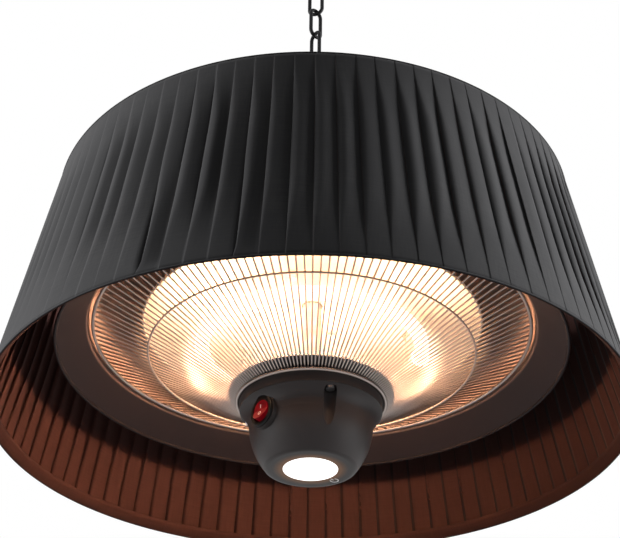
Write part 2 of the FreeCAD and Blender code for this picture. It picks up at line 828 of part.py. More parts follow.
def quartz_tube():
    return ring_stretch(tube_radius, *glass_ends()).cut(ring_stretch(tube_radius - tube_wall, *glass_ends()))


def filament():
    return ring_stretch(filament_radius, *glass_ends())


def tube_end_caps():
    """Ceramic caps over both ends of the glass."""
    caps = []
    for side in (1, -1):
        angles = (cap_first_angle, tube_end_angle, cap_last_angle)
        inner, seat, outer = [tube_gap_azimuth + side * angle for angle in angles]
        cap = ring_stretch(cap_radius, min(inner, outer), max(inner, outer))
        socket = ring_stretch(tube_radius + slip_fit, min(seat, outer), max(seat, outer))
        caps.append(cap.cut(socket))
    return caps


def lead_foot(side):
    """Place of a lead on the heating ring's circle, on one side of the gap."""
    foot = polar(tube_ring_radius, tube_gap_azimuth - side * lead_angle, 0)
    return foot.x, foot.y


def tube_leads():
    """Leads from the caps up through the reflector, in under the roof and up to the terminal block."""
    leads = []
    for side in (1, -1):
        x, y = lead_foot(side)
        block_x = side * lead_side
        route = [V(x, y, tube_height + cap_radius + weld_gap), V(x, y, lead_level),
                 V(block_x, block_offset, lead_level), V(block_x, block_offset, hub_top)]
        leads.append(bent_rod(route, lead_bend, lead_radius))
    return leads


def tube_clips():
    """Straps that hang from the reflector, each with an eye round the glass."""
    inner = tube_radius + slip_fit
    outer = inner + clip_wall
    top = dome_height(tube_ring_radius + clip_wall / 2, reflector_rim_radius, reflector_rim_height,
                      reflector_flat_radius, reflector_flat_height, reflector_sheet) - weld_gap
    start = V(tube_ring_radius, -clip_width / 2, tube_height)
    eye = Part.makeCylinder(outer, clip_width, start, V(0, 1, 0))
    strap_low = tube_height + inner
    strap = block((clip_wall, clip_width, top - strap_low), (tube_ring_radius, 0, (top + strap_low) / 2))
    sweep = math.degrees(clip_width / tube_ring_radius)
    swept = ring_stretch(inner, 90 - sweep, 90 + sweep)
    clip = eye.fuse(strap).removeSplitter().cut(swept)
    return [turned(clip, azimuth) for azimuth in clip_azimuths]


# Guard

def guard_line():
    """Arc that the middle of a guard wire follows, over its three rings, and its end angles."""
    points = []
    for radius, z, ring_wire in ((guard_outer_radius, guard_outer_height, guard_outer_wire_radius),
                                 (guard_mid_radius, guard_mid_height, guard_mid_wire_radius),
                                 (guard_inner_radius, guard_inner_height, guard_inner_wire_radius)):
        lift = ring_wire + guard_wire_radius + weld_gap
        points.append(section(radius - lift * math.sin(guard_lean), z + lift * math.cos(guard_lean)))
    circle = Part.Arc(*points).toShape().Curve
    centre = circle.Center
    outer, inner = [math.atan2(p.z - centre.z, p.x - centre.x) for p in (points[0], points[2])]
    outer -= guard_outer_overhang / circle.Radius
    inner += guard_inner_overhang / circle.Radius
    return centre, circle.Radius, outer, inner


def guard_wires():
    centre, radius, outer, inner = guard_line()
    start = V(centre.x + radius * math.cos(outer), 0, centre.z + radius * math.sin(outer))
    along = V(-math.sin(outer), 0, math.cos(outer))
    wire = disc(guard_wire_radius, start, along).revolve(centre, V(0, -1, 0), math.degrees(inner - outer))
    return around(wire, guard_wire_count, 0)


def guard_clips():
    """Clips over the outer ring, between two wires, that lie against the inside of the hood."""
    inner = guard_outer_wire_radius + weld_gap
    outer = inner + guard_clip_wall
    hook = disc(outer, section(guard_outer_radius, guard_outer_height), V(0, 1, 0)).cut(
        disc(inner, section(guard_outer_radius, guard_outer_height), V(0, 1, 0)))
    reach = 2 * outer
    below = polygon_face([(guard_outer_radius - reach, guard_outer_height - reach),
                          (guard_outer_radius + reach, guard_outer_height - reach),
                          (guard_outer_radius + reach, guard_outer_height),
                          (guard_outer_radius - reach, guard_outer_height)])
    foot_z = guard_outer_height + guard_clip_wall
    head_z = guard_outer_height + guard_clip_height
    foot_radius = crown_radius(foot_z) - slip_fit
    head_radius = crown_radius(head_z) - slip_fit
    tongue = polygon_face([(guard_outer_radius + inner, foot_z), (foot_radius, foot_z),
                           (head_radius, head_z), (head_radius - guard_clip_wall, head_z)])
    profile = hook.cut(below).fuse(tongue).removeSplitter()
    clip = profile.Faces[0].extrude(V(0, guard_clip_width, 0)).translated(V(0, -guard_clip_width / 2, 0))
    half_pitch = 180 / guard_wire_count
    return around(clip, guard_clip_count, guard_clip_azimuth + half_pitch)


# Stem and heat shield

def shield_height():
    """Underside of the shield, with its edge clear of the guard wires."""
    centre, radius = guard_line()[:2]
    wire_top = centre.z + math.sqrt((radius + guard_wire_radius) ** 2 - (shield_radius - centre.x) ** 2)
    return wire_top + shield_clearance


def stem_nuts():
    bore = stem_hole_radius
    lows = (plate_underside - stem_nut_height, shield_height() + shield_sheet,
            roof_underside - stem_nut_height, hub_top)
    return [hex_nut(stem_nut_flats, bore, low, low + stem_nut_height) for low in lows]


def hub_shield():
    """Round sheet above the middle of the guard."""
    low = shield_height()
    return sleeve(shield_radius, stem_hole_radius, low, low + shield_sheet)


# Pod

def pod_screw_places(shape):
    return around(shape.translated(V(groove_circle_radius, 0, 0)), groove_count, groove_azimuth)


def pod_top_plate():
    """Round top of the pod with a band that tapers to the seam, and bosses for the pod's screws."""
    top = pod_top_height
    seam_radius = pod_flange_radius - pod_flange_taper
    plate = spun(polygon_face([
        (stem_hole_radius, top), (pod_flange_radius - pod_edge, top), (pod_flange_radius, top - pod_edge),
        (seam_radius, pod_seam_height), (seam_radius - pod_wall, pod_seam_height),
        (pod_flange_radius - pod_wall - pod_edge, plate_underside), (stem_hole_radius, plate_underside),
    ]))
    boss = pillar(pod_boss_radius, pod_seam_height, top - pod_wall / 2)
    hole = pillar(pod_screw_radius + slip_fit, pod_seam_height, top - pod_wall / 2)
    return plate.fuse(pod_screw_places(boss)).removeSplitter().cut(pod_screw_places(hole))


def bowl_face(inset):
    """Section of the bowl's solid envelope, with all its walls drawn in by an inset."""
    floor_z = pod_floor_height + inset
    shoulder = (pod_shoulder_radius - inset, pod_seam_height)
    waist = (pod_waist_radius - inset, pod_waist_height)
    overhang = shoulder[0] - waist[0]
    flare = (waist[0] + pod_flare_share * overhang, (shoulder[1] + waist[1]) / 2)
    belly = (pod_belly_radius - inset, pod_belly_height)
    lower = (pod_lower_radius - inset, pod_lower_height)
    chin = (pod_chin_radius - inset, pod_chin_height + inset)
    floor = (pod_floor_radius - inset, floor_z)
    bend = dome_radius(pod_chin_radius, pod_floor_height, pod_floor_radius, pod_chin_height)
    half_turn = math.asin(pod_chin_width / bend) / 2
    turn = (floor[0] + bend * math.sin(half_turn), floor_z + bend * (1 - math.cos(half_turn)))
    return Part.Face(Part.Wire([
        line((0, pod_seam_height), shoulder), arc(shoulder, flare, waist), line(waist, belly),
        arc(belly, lower, chin), arc(chin, turn, floor), line(floor, (0, floor_z)),
        line((0, floor_z), (0, pod_seam_height)),
    ]))


def switch_placed(shape):
    """Shape made along +X at the switch's pad face, set on the pod's side."""
    moved = shape.translated(V(switch_pad_reach, 0, switch_height))
    return turned(moved, switch_azimuth)


def pod_bowl():
    """Round bowl with a lens opening, a flat pad for the switch and grooves for the screws."""
    envelope = spun(bowl_face(0))
    hollow = spun(bowl_face(pod_wall))
    post = pillar(groove_radius + groove_wall, pod_floor_height, pod_seam_height)
    posts_inside = Part.makeCompound(pod_screw_places(post)).common(envelope)
    pad = switch_placed(x_pillar(switch_pad_radius, -switch_pad_depth, 0))
    bowl = envelope.cut(hollow).fuse([posts_inside, pad]).removeSplitter()
    groove = pillar(groove_radius, pod_floor_height, groove_top)
    drill = pillar(pod_screw_radius + slip_fit, groove_top, pod_seam_height)
    lens_hole = pillar(lens_radius + slip_fit, pod_floor_height, pod_floor_top)
    switch_hole = switch_placed(x_pillar(switch_body_radius + slip_fit, -switch_body_depth, 0))
    bezel_seat = switch_placed(x_pillar(switch_bezel_radius + 2 * slip_fit, 0, switch_body_depth))
    holes = pod_screw_places(groove) + pod_screw_places(drill)
    return bowl.cut(holes + [lens_hole, switch_hole, bezel_seat])


def pod_screws():
    screw = cheese_screw(pod_screw_radius, pod_screw_head_radius, pod_screw_head_height,
                         groove_top, plate_underside)
    return pod_screw_places(screw)


def led_lens():
    """Round lens, slightly crowned, with a lip that lies on the bowl's floor."""
    lip_top = pod_floor_top + lens_lip_height
    crown = (0, pod_floor_height - lens_crown)
    rim = (lens_radius, pod_floor_height)
    half_crown = 3 / 4 * lens_crown   # what a shallow round cap has left at half its radius
    middle = (lens_radius / 2, pod_floor_height - half_crown)
    edges = [arc(crown, middle, rim), line(rim, (lens_radius, pod_floor_top)),
             line((lens_radius, pod_floor_top), (lens_radius + lens_lip, pod_floor_top)),
             line((lens_radius + lens_lip, pod_floor_top), (lens_radius + lens_lip, lip_top)),
             line((lens_radius + lens_lip, lip_top), (0, lip_top)), line((0, lip_top), crown)]
    return spun(Part.Face(Part.Wire(edges)))


def led_board():
    return pillar(led_board_radius, led_board_z, led_board_z + board_thickness)


def led_posts():
    post = pillar(led_post_radius, pod_floor_top, led_board_z, led_post_circle_radius)
    return around(post, led_post_count, groove_azimuth)


def led_chips():
    sizes = (led_chip_size, led_chip_size, led_chip_height)
    z = led_board_z - led_chip_height / 2
    ring = around(block(sizes, (led_chip_circle_radius, 0, z)), led_chip_count, 0)
    return [block(sizes, (0, 0, z))] + ring


def control_board():
    z = control_board_top - board_thickness / 2
    return block((control_board_length, control_board_width, board_thickness), (0, 0, z))


def board_posts():
    x = control_board_length / 2 - board_post_inset
    y = control_board_width / 2 - board_post_inset
    return [pillar(board_post_radius, control_board_top, plate_underside, i * x, j * y)
            for i in (1, -1) for j in (1, -1)]


def board_components():
    """Relay and capacitors under the control board."""
    top = control_board_top - board_thickness
    relay = block(relay_size, (*relay_place, top - relay_size[2] / 2))
    low = top - capacitor_height
    return [relay] + [pillar(capacitor_radius, low, top, x, y) for x, y in capacitor_places]


# Rocker switch, made with its axis along +X and its bezel seated at x = 0

def switch_body():
    bezel_face = polygon_face([(0, 0), (switch_bezel_radius, 0),
                               (switch_bezel_radius, switch_bezel_height - switch_bezel_edge),
                               (switch_bezel_radius - switch_bezel_edge, switch_bezel_height),
                               (0, switch_bezel_height)])
    bezel = spun(bezel_face).rotated(ORIGIN, V(0, 1, 0), 90)
    barrel = x_pillar(switch_body_radius, -switch_body_depth, 0)
    cavity = x_pillar(switch_cavity_radius, -switch_cavity_depth, switch_bezel_height)
    bore = Part.makeCylinder(rocker_pin_radius + pivot_fit, 2 * switch_body_radius,
                             V(-rocker_pivot_depth, -switch_body_radius, 0), V(0, 1, 0))
    return switch_placed(bezel.fuse(barrel).removeSplitter().cut([cavity, bore]))


def switch_terminals():
    middle = -switch_body_depth - terminal_length / 2
    sizes = (terminal_length, terminal_width, terminal_thickness)
    return [switch_placed(block(sizes, (middle, 0, k * terminal_pitch))) for k in (-1, 0, 1)]


def rocker_button():
    """Round rocker with a shallow valley across its face and two pivot pins, its top pressed in."""
    profile = [(rocker_front_edge, rocker_radius), (rocker_front_middle, 0),
               (rocker_front_edge, -rocker_radius), (-rocker_back_edge, -rocker_radius),
               (-rocker_back_middle, 0), (-rocker_back_edge, rocker_radius)]
    corners = [V(x, -rocker_radius, z) for x, z in profile]
    bar = Part.Face(Part.makePolygon(corners + corners[:1])).extrude(V(0, 2 * rocker_radius, 0))
    outline = x_pillar(rocker_radius, -rocker_back_middle, rocker_front_edge)
    pivot = V(-rocker_pivot_depth, 0, 0)
    pins = Part.makeCylinder(rocker_pin_radius, 2 * rocker_pin_reach,
                             pivot - V(0, rocker_pin_reach, 0), V(0, 1, 0))
    rocker = bar.common(outline).fuse(pins).removeSplitter()
    return switch_placed(rocker.rotated(pivot, V(0, 1, 0), -rocker_tilt))


# Saving

def save(node, solids, lower=0.0):
    """Write one node, a single solid or a group of separate ones, lowered to its place."""
    shape = Part.makeCompound(solids) if isinstance(solids, list) else solids
    shape.translated(V(0, 0, lower)).exportStep(f"parts/{node}.step")


def main():
    os.makedirs("parts", exist_ok=True)
    save("ceiling_plate", ceiling_plate())
    save("ceiling_hook", ceiling_hook())
    for k, (bottom_z, yaw) in enumerate(zip(link_bottoms_z, link_yaws), start=1):
        save(f"chain_link_{k:02d}", chain_link(bottom_z, yaw))
    heater = {
        "eye_bolt": eye_bolt(),
        "eye_bolt_nut": eye_bolt_nut(),
        "top_cover": top_cover(),
        "cover_screws": cover_screws(),
        "cover_nuts": cover_nuts(),
        "cable_gland": cable_gland(),
        "gland_nut": gland_nut(),
        "terminal_block": terminal_block(),
        "supply_wires": supply_wires(),
        "hood": hood(),
        "spider_hub": spider_hub(),
        "spider_arms": spider_arms(),
        "shade_top_ring": wire_ring(*top_ring_place(), top_ring_wire_radius),
        "shade_bottom_ring": wire_ring(*bottom_ring_place(), bottom_ring_wire_radius),
        "shade_fabric": shade_fabric(),
        "shade_top_binding": shade_top_binding(),
        "shade_bottom_binding": shade_bottom_binding(),
        "reflector": reflector(),
        "reflector_posts": reflector_posts(),
        "reflector_screws": reflector_screws(),
        "quartz_tube": quartz_tube(),
        "filament": filament(),
        "tube_end_caps": tube_end_caps(),
        "tube_leads": tube_leads(),
        "tube_clips": tube_clips(),
        "guard_outer_ring": wire_ring(guard_outer_radius, guard_outer_height, guard_outer_wire_radius),
        "guard_mid_ring": wire_ring(guard_mid_radius, guard_mid_height, guard_mid_wire_radius),
        "guard_inner_ring": wire_ring(guard_inner_radius, guard_inner_height, guard_inner_wire_radius),
        "guard_wires": guard_wires(),
        "guard_clips": guard_clips(),
        "centre_stem": sleeve(stem_radius, stem_bore_radius, stem_bottom, stem_top),
        "stem_nuts": stem_nuts(),
        "hub_shield": hub_shield(),
        "shield_spacer": sleeve(spacer_radius, stem_hole_radius, pod_top_height, shield_height()),
        "pod_top_plate": pod_top_plate(),
        "pod_bowl": pod_bowl(),
        "pod_screws": pod_screws(),
        "led_lens": led_lens(),
        "led_board": led_board(),
        "led_posts": led_posts(),
        "led_chips": led_chips(),
        "control_board": control_board(),
        "board_posts": board_posts(),
        "board_components": board_components(),
        "switch_body": switch_body(),
        "switch_terminals": switch_terminals(),
        "rocker_button": rocker_button(),
    }
    for node, solids in heater.items():
        save(node, solids, rim_z)


main()
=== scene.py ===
"""Looks of a ceiling patio heater: pleated cloth shade, glowing ring, wire guard and control pod.

Metres, +Z up, in the frame of the packed model. The front of the heater looks towards -Y, and
azimuths are degrees from the front towards +X, as in the part's source.
"""
import math
import random

import bmesh
import bpy
from mathutils import Matrix, Vector


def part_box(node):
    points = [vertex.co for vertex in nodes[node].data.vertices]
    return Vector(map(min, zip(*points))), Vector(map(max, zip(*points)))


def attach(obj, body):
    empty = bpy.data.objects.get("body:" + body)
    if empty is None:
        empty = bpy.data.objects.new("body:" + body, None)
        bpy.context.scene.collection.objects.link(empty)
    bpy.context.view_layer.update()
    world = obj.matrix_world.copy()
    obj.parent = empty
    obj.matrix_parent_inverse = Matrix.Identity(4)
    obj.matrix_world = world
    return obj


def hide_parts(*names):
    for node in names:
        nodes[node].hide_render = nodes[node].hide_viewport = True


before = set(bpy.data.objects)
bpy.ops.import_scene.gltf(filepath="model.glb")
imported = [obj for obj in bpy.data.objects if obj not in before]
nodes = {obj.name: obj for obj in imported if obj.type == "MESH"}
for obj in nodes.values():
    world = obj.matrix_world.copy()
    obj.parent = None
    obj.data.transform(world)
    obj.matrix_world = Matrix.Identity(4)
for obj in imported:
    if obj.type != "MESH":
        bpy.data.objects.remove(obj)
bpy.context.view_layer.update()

bl_info = {
    "name": "Ceiling patio heater",
    "version": (1, 0, 0),
    "blender": (4, 5, 0),
    "location": "View3D > Sidebar > Heater",
    "description": "Cloth, finishes and stage of a pleated ceiling patio heater",
    "category": "Object",
}

MM = 0.001
WHITE = (1.0, 1.0, 1.0, 1.0)
POD = ("pod_top_plate", "pod_bowl")

# Places in the packed model
RIM_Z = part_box("shade_bottom_binding")[0].z
SHADE_TOP_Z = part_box("shade_top_binding")[1].z
SHADE_BOTTOM_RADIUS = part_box("shade_bottom_binding")[1].x
HOOD_MOUTH_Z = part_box("guard_outer_ring")[0].z
POD_FLOOR_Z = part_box("pod_bowl")[0].z
LENS_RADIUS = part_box("led_lens")[1].x

# Switch, as in the part's source: X is out of the pod, from the face that the switch sits on
SWITCH_AZIMUTH = math.radians(-48.0)
SWITCH_REACH = 51.6 * MM
SWITCH_Z = RIM_Z - 0.5 * MM
ROCKER_PIVOT_X = -1.5 * MM
ROCKER_VALLEY_X = 2.0 * MM
ROCKER_EDGE_X = 3.5 * MM
ROCKER_RADIUS = 8.3 * MM
ROCKER_TILT = math.radians(-10.0)

# Pleats: heights are shares of the way from the bottom rim to the top rim
PLEAT_SEED = 11
PLEAT_OPENS = (0.0, 0.4)
PLEAT_CLOSES = (0.66, 1.0)
GAPE_OPENS = (0.0, 0.06)
GAPE_CLOSES = (0.08, 0.6)
GAPE_STEP = 1.3  # rise of the fold per gape
GAPING_PLEATS = ((-29.0, 2.6 * MM), (-11.0, 1.0 * MM))
PUFFED_PLEAT = 38.5
PUFFED_OPENING = 0.12
PUFFED_WRINKLE = 0.35 * MM
PRESSED_FOLD = 5.0  # cloth thicknesses that a pressed fold is wide
CREASE_SHARE = 0.74  # of the fold's height
FOLD_CURVE = ((0.03, 0.7), (0.15, 0.4), (0.4, 0.14), (0.7, 0.03), (1.0, 0.0))
PANEL_PLACES = (0.25, 0.5, 0.75, 0.93)
WRINKLE_WAVES = 9.0
CLOTH_END = 0.9 * MM  # cloth short of the rims
CLOTH_ROWS = 30

# Bindings: turns are pairs of an inset from the outside of the rim or its ring and a distance from the rim
BINDING_SEED = 23
BINDING_COLUMNS = 4  # per pleat
BINDING_FLUTTER = 0.12 * MM
BINDING_HOLD = 0.35  # share of the flutter that is left between a strip's edges
BINDING_SKIN = 0.2 * MM  # strip's outer edge inside the shade's outside
TOP_TURN = ((0.2 * MM, 0.5 * MM), (0.7 * MM, 0.0), (2.2 * MM, 0.0))
TOP_INNER_TURN = ((4.2 * MM, 0.35 * MM), (4.4 * MM, 5.4 * MM))
BOTTOM_TURN = ((0.2 * MM, 0.4 * MM), (0.7 * MM, 0.0), (1.9 * MM, 0.0), (2.3 * MM, 0.5 * MM))
BOTTOM_INNER_INSET = 2.9 * MM
BOTTOM_INNER_RISE = 1.5 * MM  # above the ring

# Lining of the cloth: places are shares of the strip that a pleat takes up, from its inner fold
# Painted shade: the lining is darkened towards the right, standing in for less glow on that side
PAINTED_SHADE_REACH = 0.22  # half of the width in which the lining darkens to the right
PAINTED_SHADE_RIGHT = 0.52  # brightness at the right
LINING_STREAK = 1.2
# Painted shadow along the edges of the lining's inner folds: its span and its darkness
CREASE_SHADOW_SPAN = (0.034, 0.048)
CREASE_SHADOW_DARKNESS = 0.1
FOLD_TURN = (0.05, 0.06)
FOLD_TURN_SHIFT = 0.1
SIDE_BLUR = 0.02  # softness of the change from one side of a sheet to the other
SHEEN_TINT = (0.9, 0.9, 0.92, 1.0)
SLUBS_ACROSS = 900.0  # per metre, across and along a thread
SLUBS_ALONG = 60.0

# Reflector, hood and the lens's light painted on the pod
RINGS_PER_METRE = 900.0
HEAT_RADIUS = 92.0 * MM
HEAT_Z = -485.0 * MM
HEAT_REACH = 100.0 * MM
HOOD_LEAN = 0.05  # makes the hood's upper faces count as outside
HOOD_EDGE_BLUR = 1.0 * MM
PAINTED_LENS_GLOW_REACH = 7.0 * MM
POD_FACE_BLUR = (0.5 * MM, 1.5 * MM)

# Marks
RING_SIDES = 48
BAR_ROUNDING = 0.4  # of the bar's width
SIGN_BAR_RISE = 0.75  # of the sign's radius

# Lamps and floor: aims are heights from the bottom rim
MIRROR = Vector((-1.0, 1.0, 1.0))
LAMP_PLACE = Vector((1.9, 0.05, -0.15))
LAMP_SIZE = (1.2, 0.5)
LAMP_SPREAD = math.radians(80.0)
LAMP_AIM = 0.09
POD_LAMP_STEP = Vector((1.2, -0.3, -0.14))
POD_LAMP_AIM = -0.01
FLOOR_SIZE = 4.0


# Sizes and colours that a user would change

def number(name, description, default, **limits):
    return bpy.props.FloatProperty(name=name, description=description, default=default, **limits)


def length(name, description, default):
    return number(name, description, default, precision=5, unit="LENGTH", subtype="DISTANCE")


def degrees(name, description, default):
    return number(name, description, math.radians(default), subtype="ANGLE")


def point(name, description, default):
    return bpy.props.FloatVectorProperty(name=name, description=description, default=default,
                                         size=len(default), unit="LENGTH")


def colour(name, description, default):
    return bpy.props.FloatVectorProperty(name=name, description=description, default=default,
                                         size=3, min=0.0, max=1.0, subtype="COLOR")


class HeaterShadeSettings(bpy.types.PropertyGroup):
    """Sizes and colours of the pleated shade"""
    pleat_count: bpy.props.IntProperty(name="Pleats", description="Number of knife pleats", default=92)
    cloth_strip: length("Cloth per pleat", "Width of the flat strip that one pleat takes up", 24.5 * MM)
    cloth_thickness: length("Cloth thickness", "Thickness of the shade's cloth", 0.2 * MM)
    edge_inset: length("Edge inset", "Pleat edges behind the outside of the bindings", 0.6 * MM)
    pressed_step: length("Pressed step", "Height of a pleat's fold at the rims", 0.26 * MM)
    open_step: length("Open step", "Height of an open pleat's fold", 3.8 * MM)
    fold_width: length("Fold width", "Width of an open pleat's round fold", 5.0 * MM)
    top_radius: length("Top radius", "Outside of the shade at its top rim", 223.4 * MM)
    binding_top: length("Top binding", "Width of the strip round the top rim", 1.4 * MM)
    binding_bottom: length("Bottom binding", "Width of the strip round the bottom rim", 1.2 * MM)
    cloth_colour: colour("Cloth", "Colour of the shade's cloth", (0.046, 0.046, 0.048))
    lining_colour: colour("Lining", "Brown inner side of the shade's cloth", (0.108, 0.048, 0.041))
    thread_colour: colour("Thread", "Colour of the lighter threads", (0.062, 0.061, 0.062))
    binding_colour: colour("Binding", "Colour of the strips round the rims", (0.040, 0.040, 0.042))


class HeaterMetalSettings(bpy.types.PropertyGroup):
    """Colours of the metal pieces"""
    black_steel: colour("Black steel", "Coated chain, hook and eye", (0.010, 0.010, 0.011))
    # The hood's paint and crown colours carry a warm tint painted in for the heater's glow on them
    hood_paint: colour("Hood paint", "Heat-proof paint of the hood's brim", (0.0224, 0.0148, 0.0160))
    hood_crown: colour("Hood crown", "Bare sheet inside the hood", (0.40, 0.29, 0.25))
    zinc: colour("Zinc", "Plated screws, nuts and brackets", (0.56, 0.56, 0.57))
    guard_wire: colour("Guard wire", "Bright plated wires and rings", (0.36, 0.305, 0.28))
    grey_sheet: colour("Grey sheet", "Shield above the pod", (0.48, 0.49, 0.53))
    reflector: colour("Reflector", "Polished reflector", (0.64, 0.62, 0.55))
    heat_tint: colour("Heat tint", "Reflector at the heating ring", (0.46, 0.43, 0.36))
    brass: colour("Brass", "Tabs of the switch", (0.72, 0.52, 0.22))


class HeaterGlowSettings(bpy.types.PropertyGroup):
    """Light that the heater itself gives, and the pieces that give it"""
    glow_colour: colour("Glow", "Light of the heating ring", (1.0, 0.58, 0.34))
    glow_strength: number("Glow strength", "Brightness of the heating ring", 54.0, min=0.0)
    seen_colour: colour("Seen glow", "Colour in which the heating ring is seen", (1.0, 0.97, 0.90))
    lamp_colour: colour("Lamp", "Light of the lens under the pod", (1.0, 0.97, 0.93))
    lamp_strength: number("Lamp strength", "Brightness of the lens", 1.6, min=0.0)
    quartz: colour("Quartz", "Tube of the heating ring", (0.9, 0.8, 0.7))
    filament: colour("Filament", "Wire in the heating ring", (0.5, 0.3, 0.2))
    opal: colour("Opal", "Lens", (0.9, 0.9, 0.88))
    phosphor: colour("Phosphor", "Chips behind the lens", (0.85, 0.7, 0.25))


class HeaterPlasticSettings(bpy.types.PropertyGroup):
    """Colours of the plastic, ceramic and rubber pieces"""
    # The pod's colour is tinted warm, standing in for the reddish light from inside the shade: painted
    # light
    pod: colour("Pod", "Moulded pod", (0.036, 0.030, 0.030))
    # Colour of the pod where the lens's light is painted onto it
    pod_painted_glow: colour("Lit pod", "Pod at the edge of the lens, in its warm light", (0.35, 0.17, 0.08))
    switch: colour("Switch", "Bezel and body of the switch", (0.010, 0.010, 0.010))
    rocker: colour("Rocker", "See-through red rocker", (0.14, 0.002, 0.006))
    rocker_light: colour("Rocker light", "Light that shines through the rocker", (0.6, 0.006, 0.02))
    ceramic: colour("Ceramic", "Caps of the heating ring", (0.80, 0.77, 0.71))
    sleeve: colour("Sleeve", "Sleeves of the wires", (0.62, 0.58, 0.52))
    terminal: colour("Terminal block", "Terminal block", (0.72, 0.70, 0.64))
    board: colour("Board", "Circuit boards", (0.03, 0.17, 0.07))


class HeaterMarkSettings(bpy.types.PropertyGroup):
    """Sizes and colours of the printed marks"""
    ink_thickness: length("Ink thickness", "Thickness of the printed marks", 0.08 * MM)
    stroke: length("Stroke", "Width of the lines on the rocker", 0.6 * MM)
    rocker_mark: length("Rocker mark", "Height of the marks on the rocker", 3.2 * MM)
    rocker_mark_offset: length("Mark offset", "Marks' middles from the rocker's valley", 3.2 * MM)
    standby_radius: length("Standby radius", "Radius of the standby sign", 3.7 * MM)
    standby_stroke: length("Standby stroke", "Width of the standby sign's lines", 1.02 * MM)
    standby_gap: degrees("Standby gap", "Opening of the standby sign's ring", 95.0)
    standby_place: point("Standby place", "Middle of the standby sign", (19.4 * MM, 20.6 * MM))
    ink: colour("Ink", "Printed marks", (0.82, 0.82, 0.80))
    # Glow painted into the printed marks, which keeps them readable in shade
    rocker_ink_light: colour("Rocker ink light", "Light in the rocker's marks", (1.0, 0.66, 0.66))
    standby_ink_light: colour("Standby ink light", "Light in the standby sign", (1.0, 0.96, 0.94))


class HeaterStageSettings(bpy.types.PropertyGroup):
    """Camera, floor and lamps"""
    camera_place: point("Camera", "Place of the camera", (0.0, -1.0158, -1.0563))
    camera_tilt: degrees("Tilt", "Camera's view above the horizon", 32.74)
    camera_roll: degrees("Roll", "Camera's turn about its view", 0.68)
    camera_lens: number("Lens", "Focal length of the camera", 80.71, unit="CAMERA")
    camera_shift: number("Shift", "Sideways shift of the picture", -0.0045)
    floor_z: length("Floor", "Height of the floor under the ceiling", -2.5)
    floor_colour: colour("Floor", "Pale floor", (0.80, 0.79, 0.78))
    sky_strength: number("Sky", "Soft light from all round", 0.12)
    left_power: number("Left lamp", "Power of the left lamp", 14.5, unit="POWER")
    right_power: number("Right lamp", "Power of the right lamp", 17.0, unit="POWER")
    pod_power: number("Pod lamps", "Power of each lamp on the pod and its shield", 1.15, unit="POWER")


# Helpers for nodes

def feed(tree, value, socket):
    """Give a socket the value of another socket, a number or a colour."""
    if isinstance(value, bpy.types.NodeSocket):
        tree.links.new(value, socket)
    elif socket.type == "RGBA":
        socket.default_value = (*value, 1.0)
    else:
        socket.default_value = value


def set_sockets(node, **values):
    """Constants on a node's own sockets."""
    for socket, value in values.items():
        node.inputs[socket.replace("_", " ")].default_value = value


def math_node(tree, operation, first, second=None):
    """Math node whose inputs are sockets or numbers."""
    node = tree.nodes.new("ShaderNodeMath")
    node.operation = operation
    feed(tree, first, node.inputs[0])
    if second is not None:
        feed(tree, second, node.inputs[1])
    return node.outputs[0]


def noise(tree, vector, scale, detail=2.0):
    """Noise value whose scale is a socket or a number."""
    node = tree.nodes.new("ShaderNodeTexNoise")
    set_sockets(node, Detail=detail)
    feed(tree, vector, node.inputs["Vector"])
    feed(tree, scale, node.inputs["Scale"])
    return node.outputs["Fac"]


def spread(tree, value, low, high, to_low=0.0, to_high=1.0):
    """Value mapped from one range to another, clamped."""
    node = tree.nodes.new("ShaderNodeMapRange")
    feed(tree, value, node.inputs["Value"])
    ends = {"From Min": low, "From Max": high, "To Min": to_low, "To Max": to_high}
    for socket, end in ends.items():
        feed(tree, end, node.inputs[socket])
    return node.outputs["Result"]


def mixed(tree, factor, first, second):
    """Colour between two, each a colour or a socket."""
    node = tree.nodes.new("ShaderNodeMix")
    node.data_type = "RGBA"
    feed(tree, factor, node.inputs["Factor"])
    feed(tree, first, node.inputs[6])
    feed(tree, second, node.inputs[7])
    return node.outputs[2]


def split_place(tree, vector):
    """X, Y and Z of a place."""
    node = tree.nodes.new("ShaderNodeSeparateXYZ")
    feed(tree, vector, node.inputs[0])
    return node.outputs["X"], node.outputs["Y"], node.outputs["Z"]


def hypotenuse(tree, across, along):
    squares = [math_node(tree, "POWER", side, 2.0) for side in (across, along)]
    return math_node(tree, "SQRT", math_node(tree, "ADD", *squares))


# Node groups that several finishes share

def group_tree(name, inputs, outputs):
    """Empty shader node group: a vector and number inputs with defaults, and number outputs."""
    tree = bpy.data.node_groups.new(name, "ShaderNodeTree")
    tree.interface.new_socket("Vector", in_out="INPUT", socket_type="NodeSocketVector")
    for socket, default in inputs.items():
        made = tree.interface.new_socket(socket, in_out="INPUT", socket_type="NodeSocketFloat")
        made.default_value = default
    for socket in outputs:
        tree.interface.new_socket(socket, in_out="OUTPUT", socket_type="NodeSocketFloat")
    start = tree.nodes.new("NodeGroupInput")
    end = tree.nodes.new("NodeGroupOutput")
    return tree, start.outputs, end.inputs


def grain_group():
    """Fine moulded or painted grain, and broad uneven patches of handling and dust."""
    tree, start, end = group_tree("surface grain", {"Grain scale": 1500.0, "Patch scale": 18.0},
                                  ("Grain", "Patches"))
    fine = noise(tree, start["Vector"], start["Grain scale"], 3.0)
    broad = noise(tree, start["Vector"], start["Patch scale"], 5.0)
    feed(tree, spread(tree, fine, 0.3, 0.7), end["Grain"])
    feed(tree, spread(tree, broad, 0.32, 0.68), end["Patches"])
    return tree


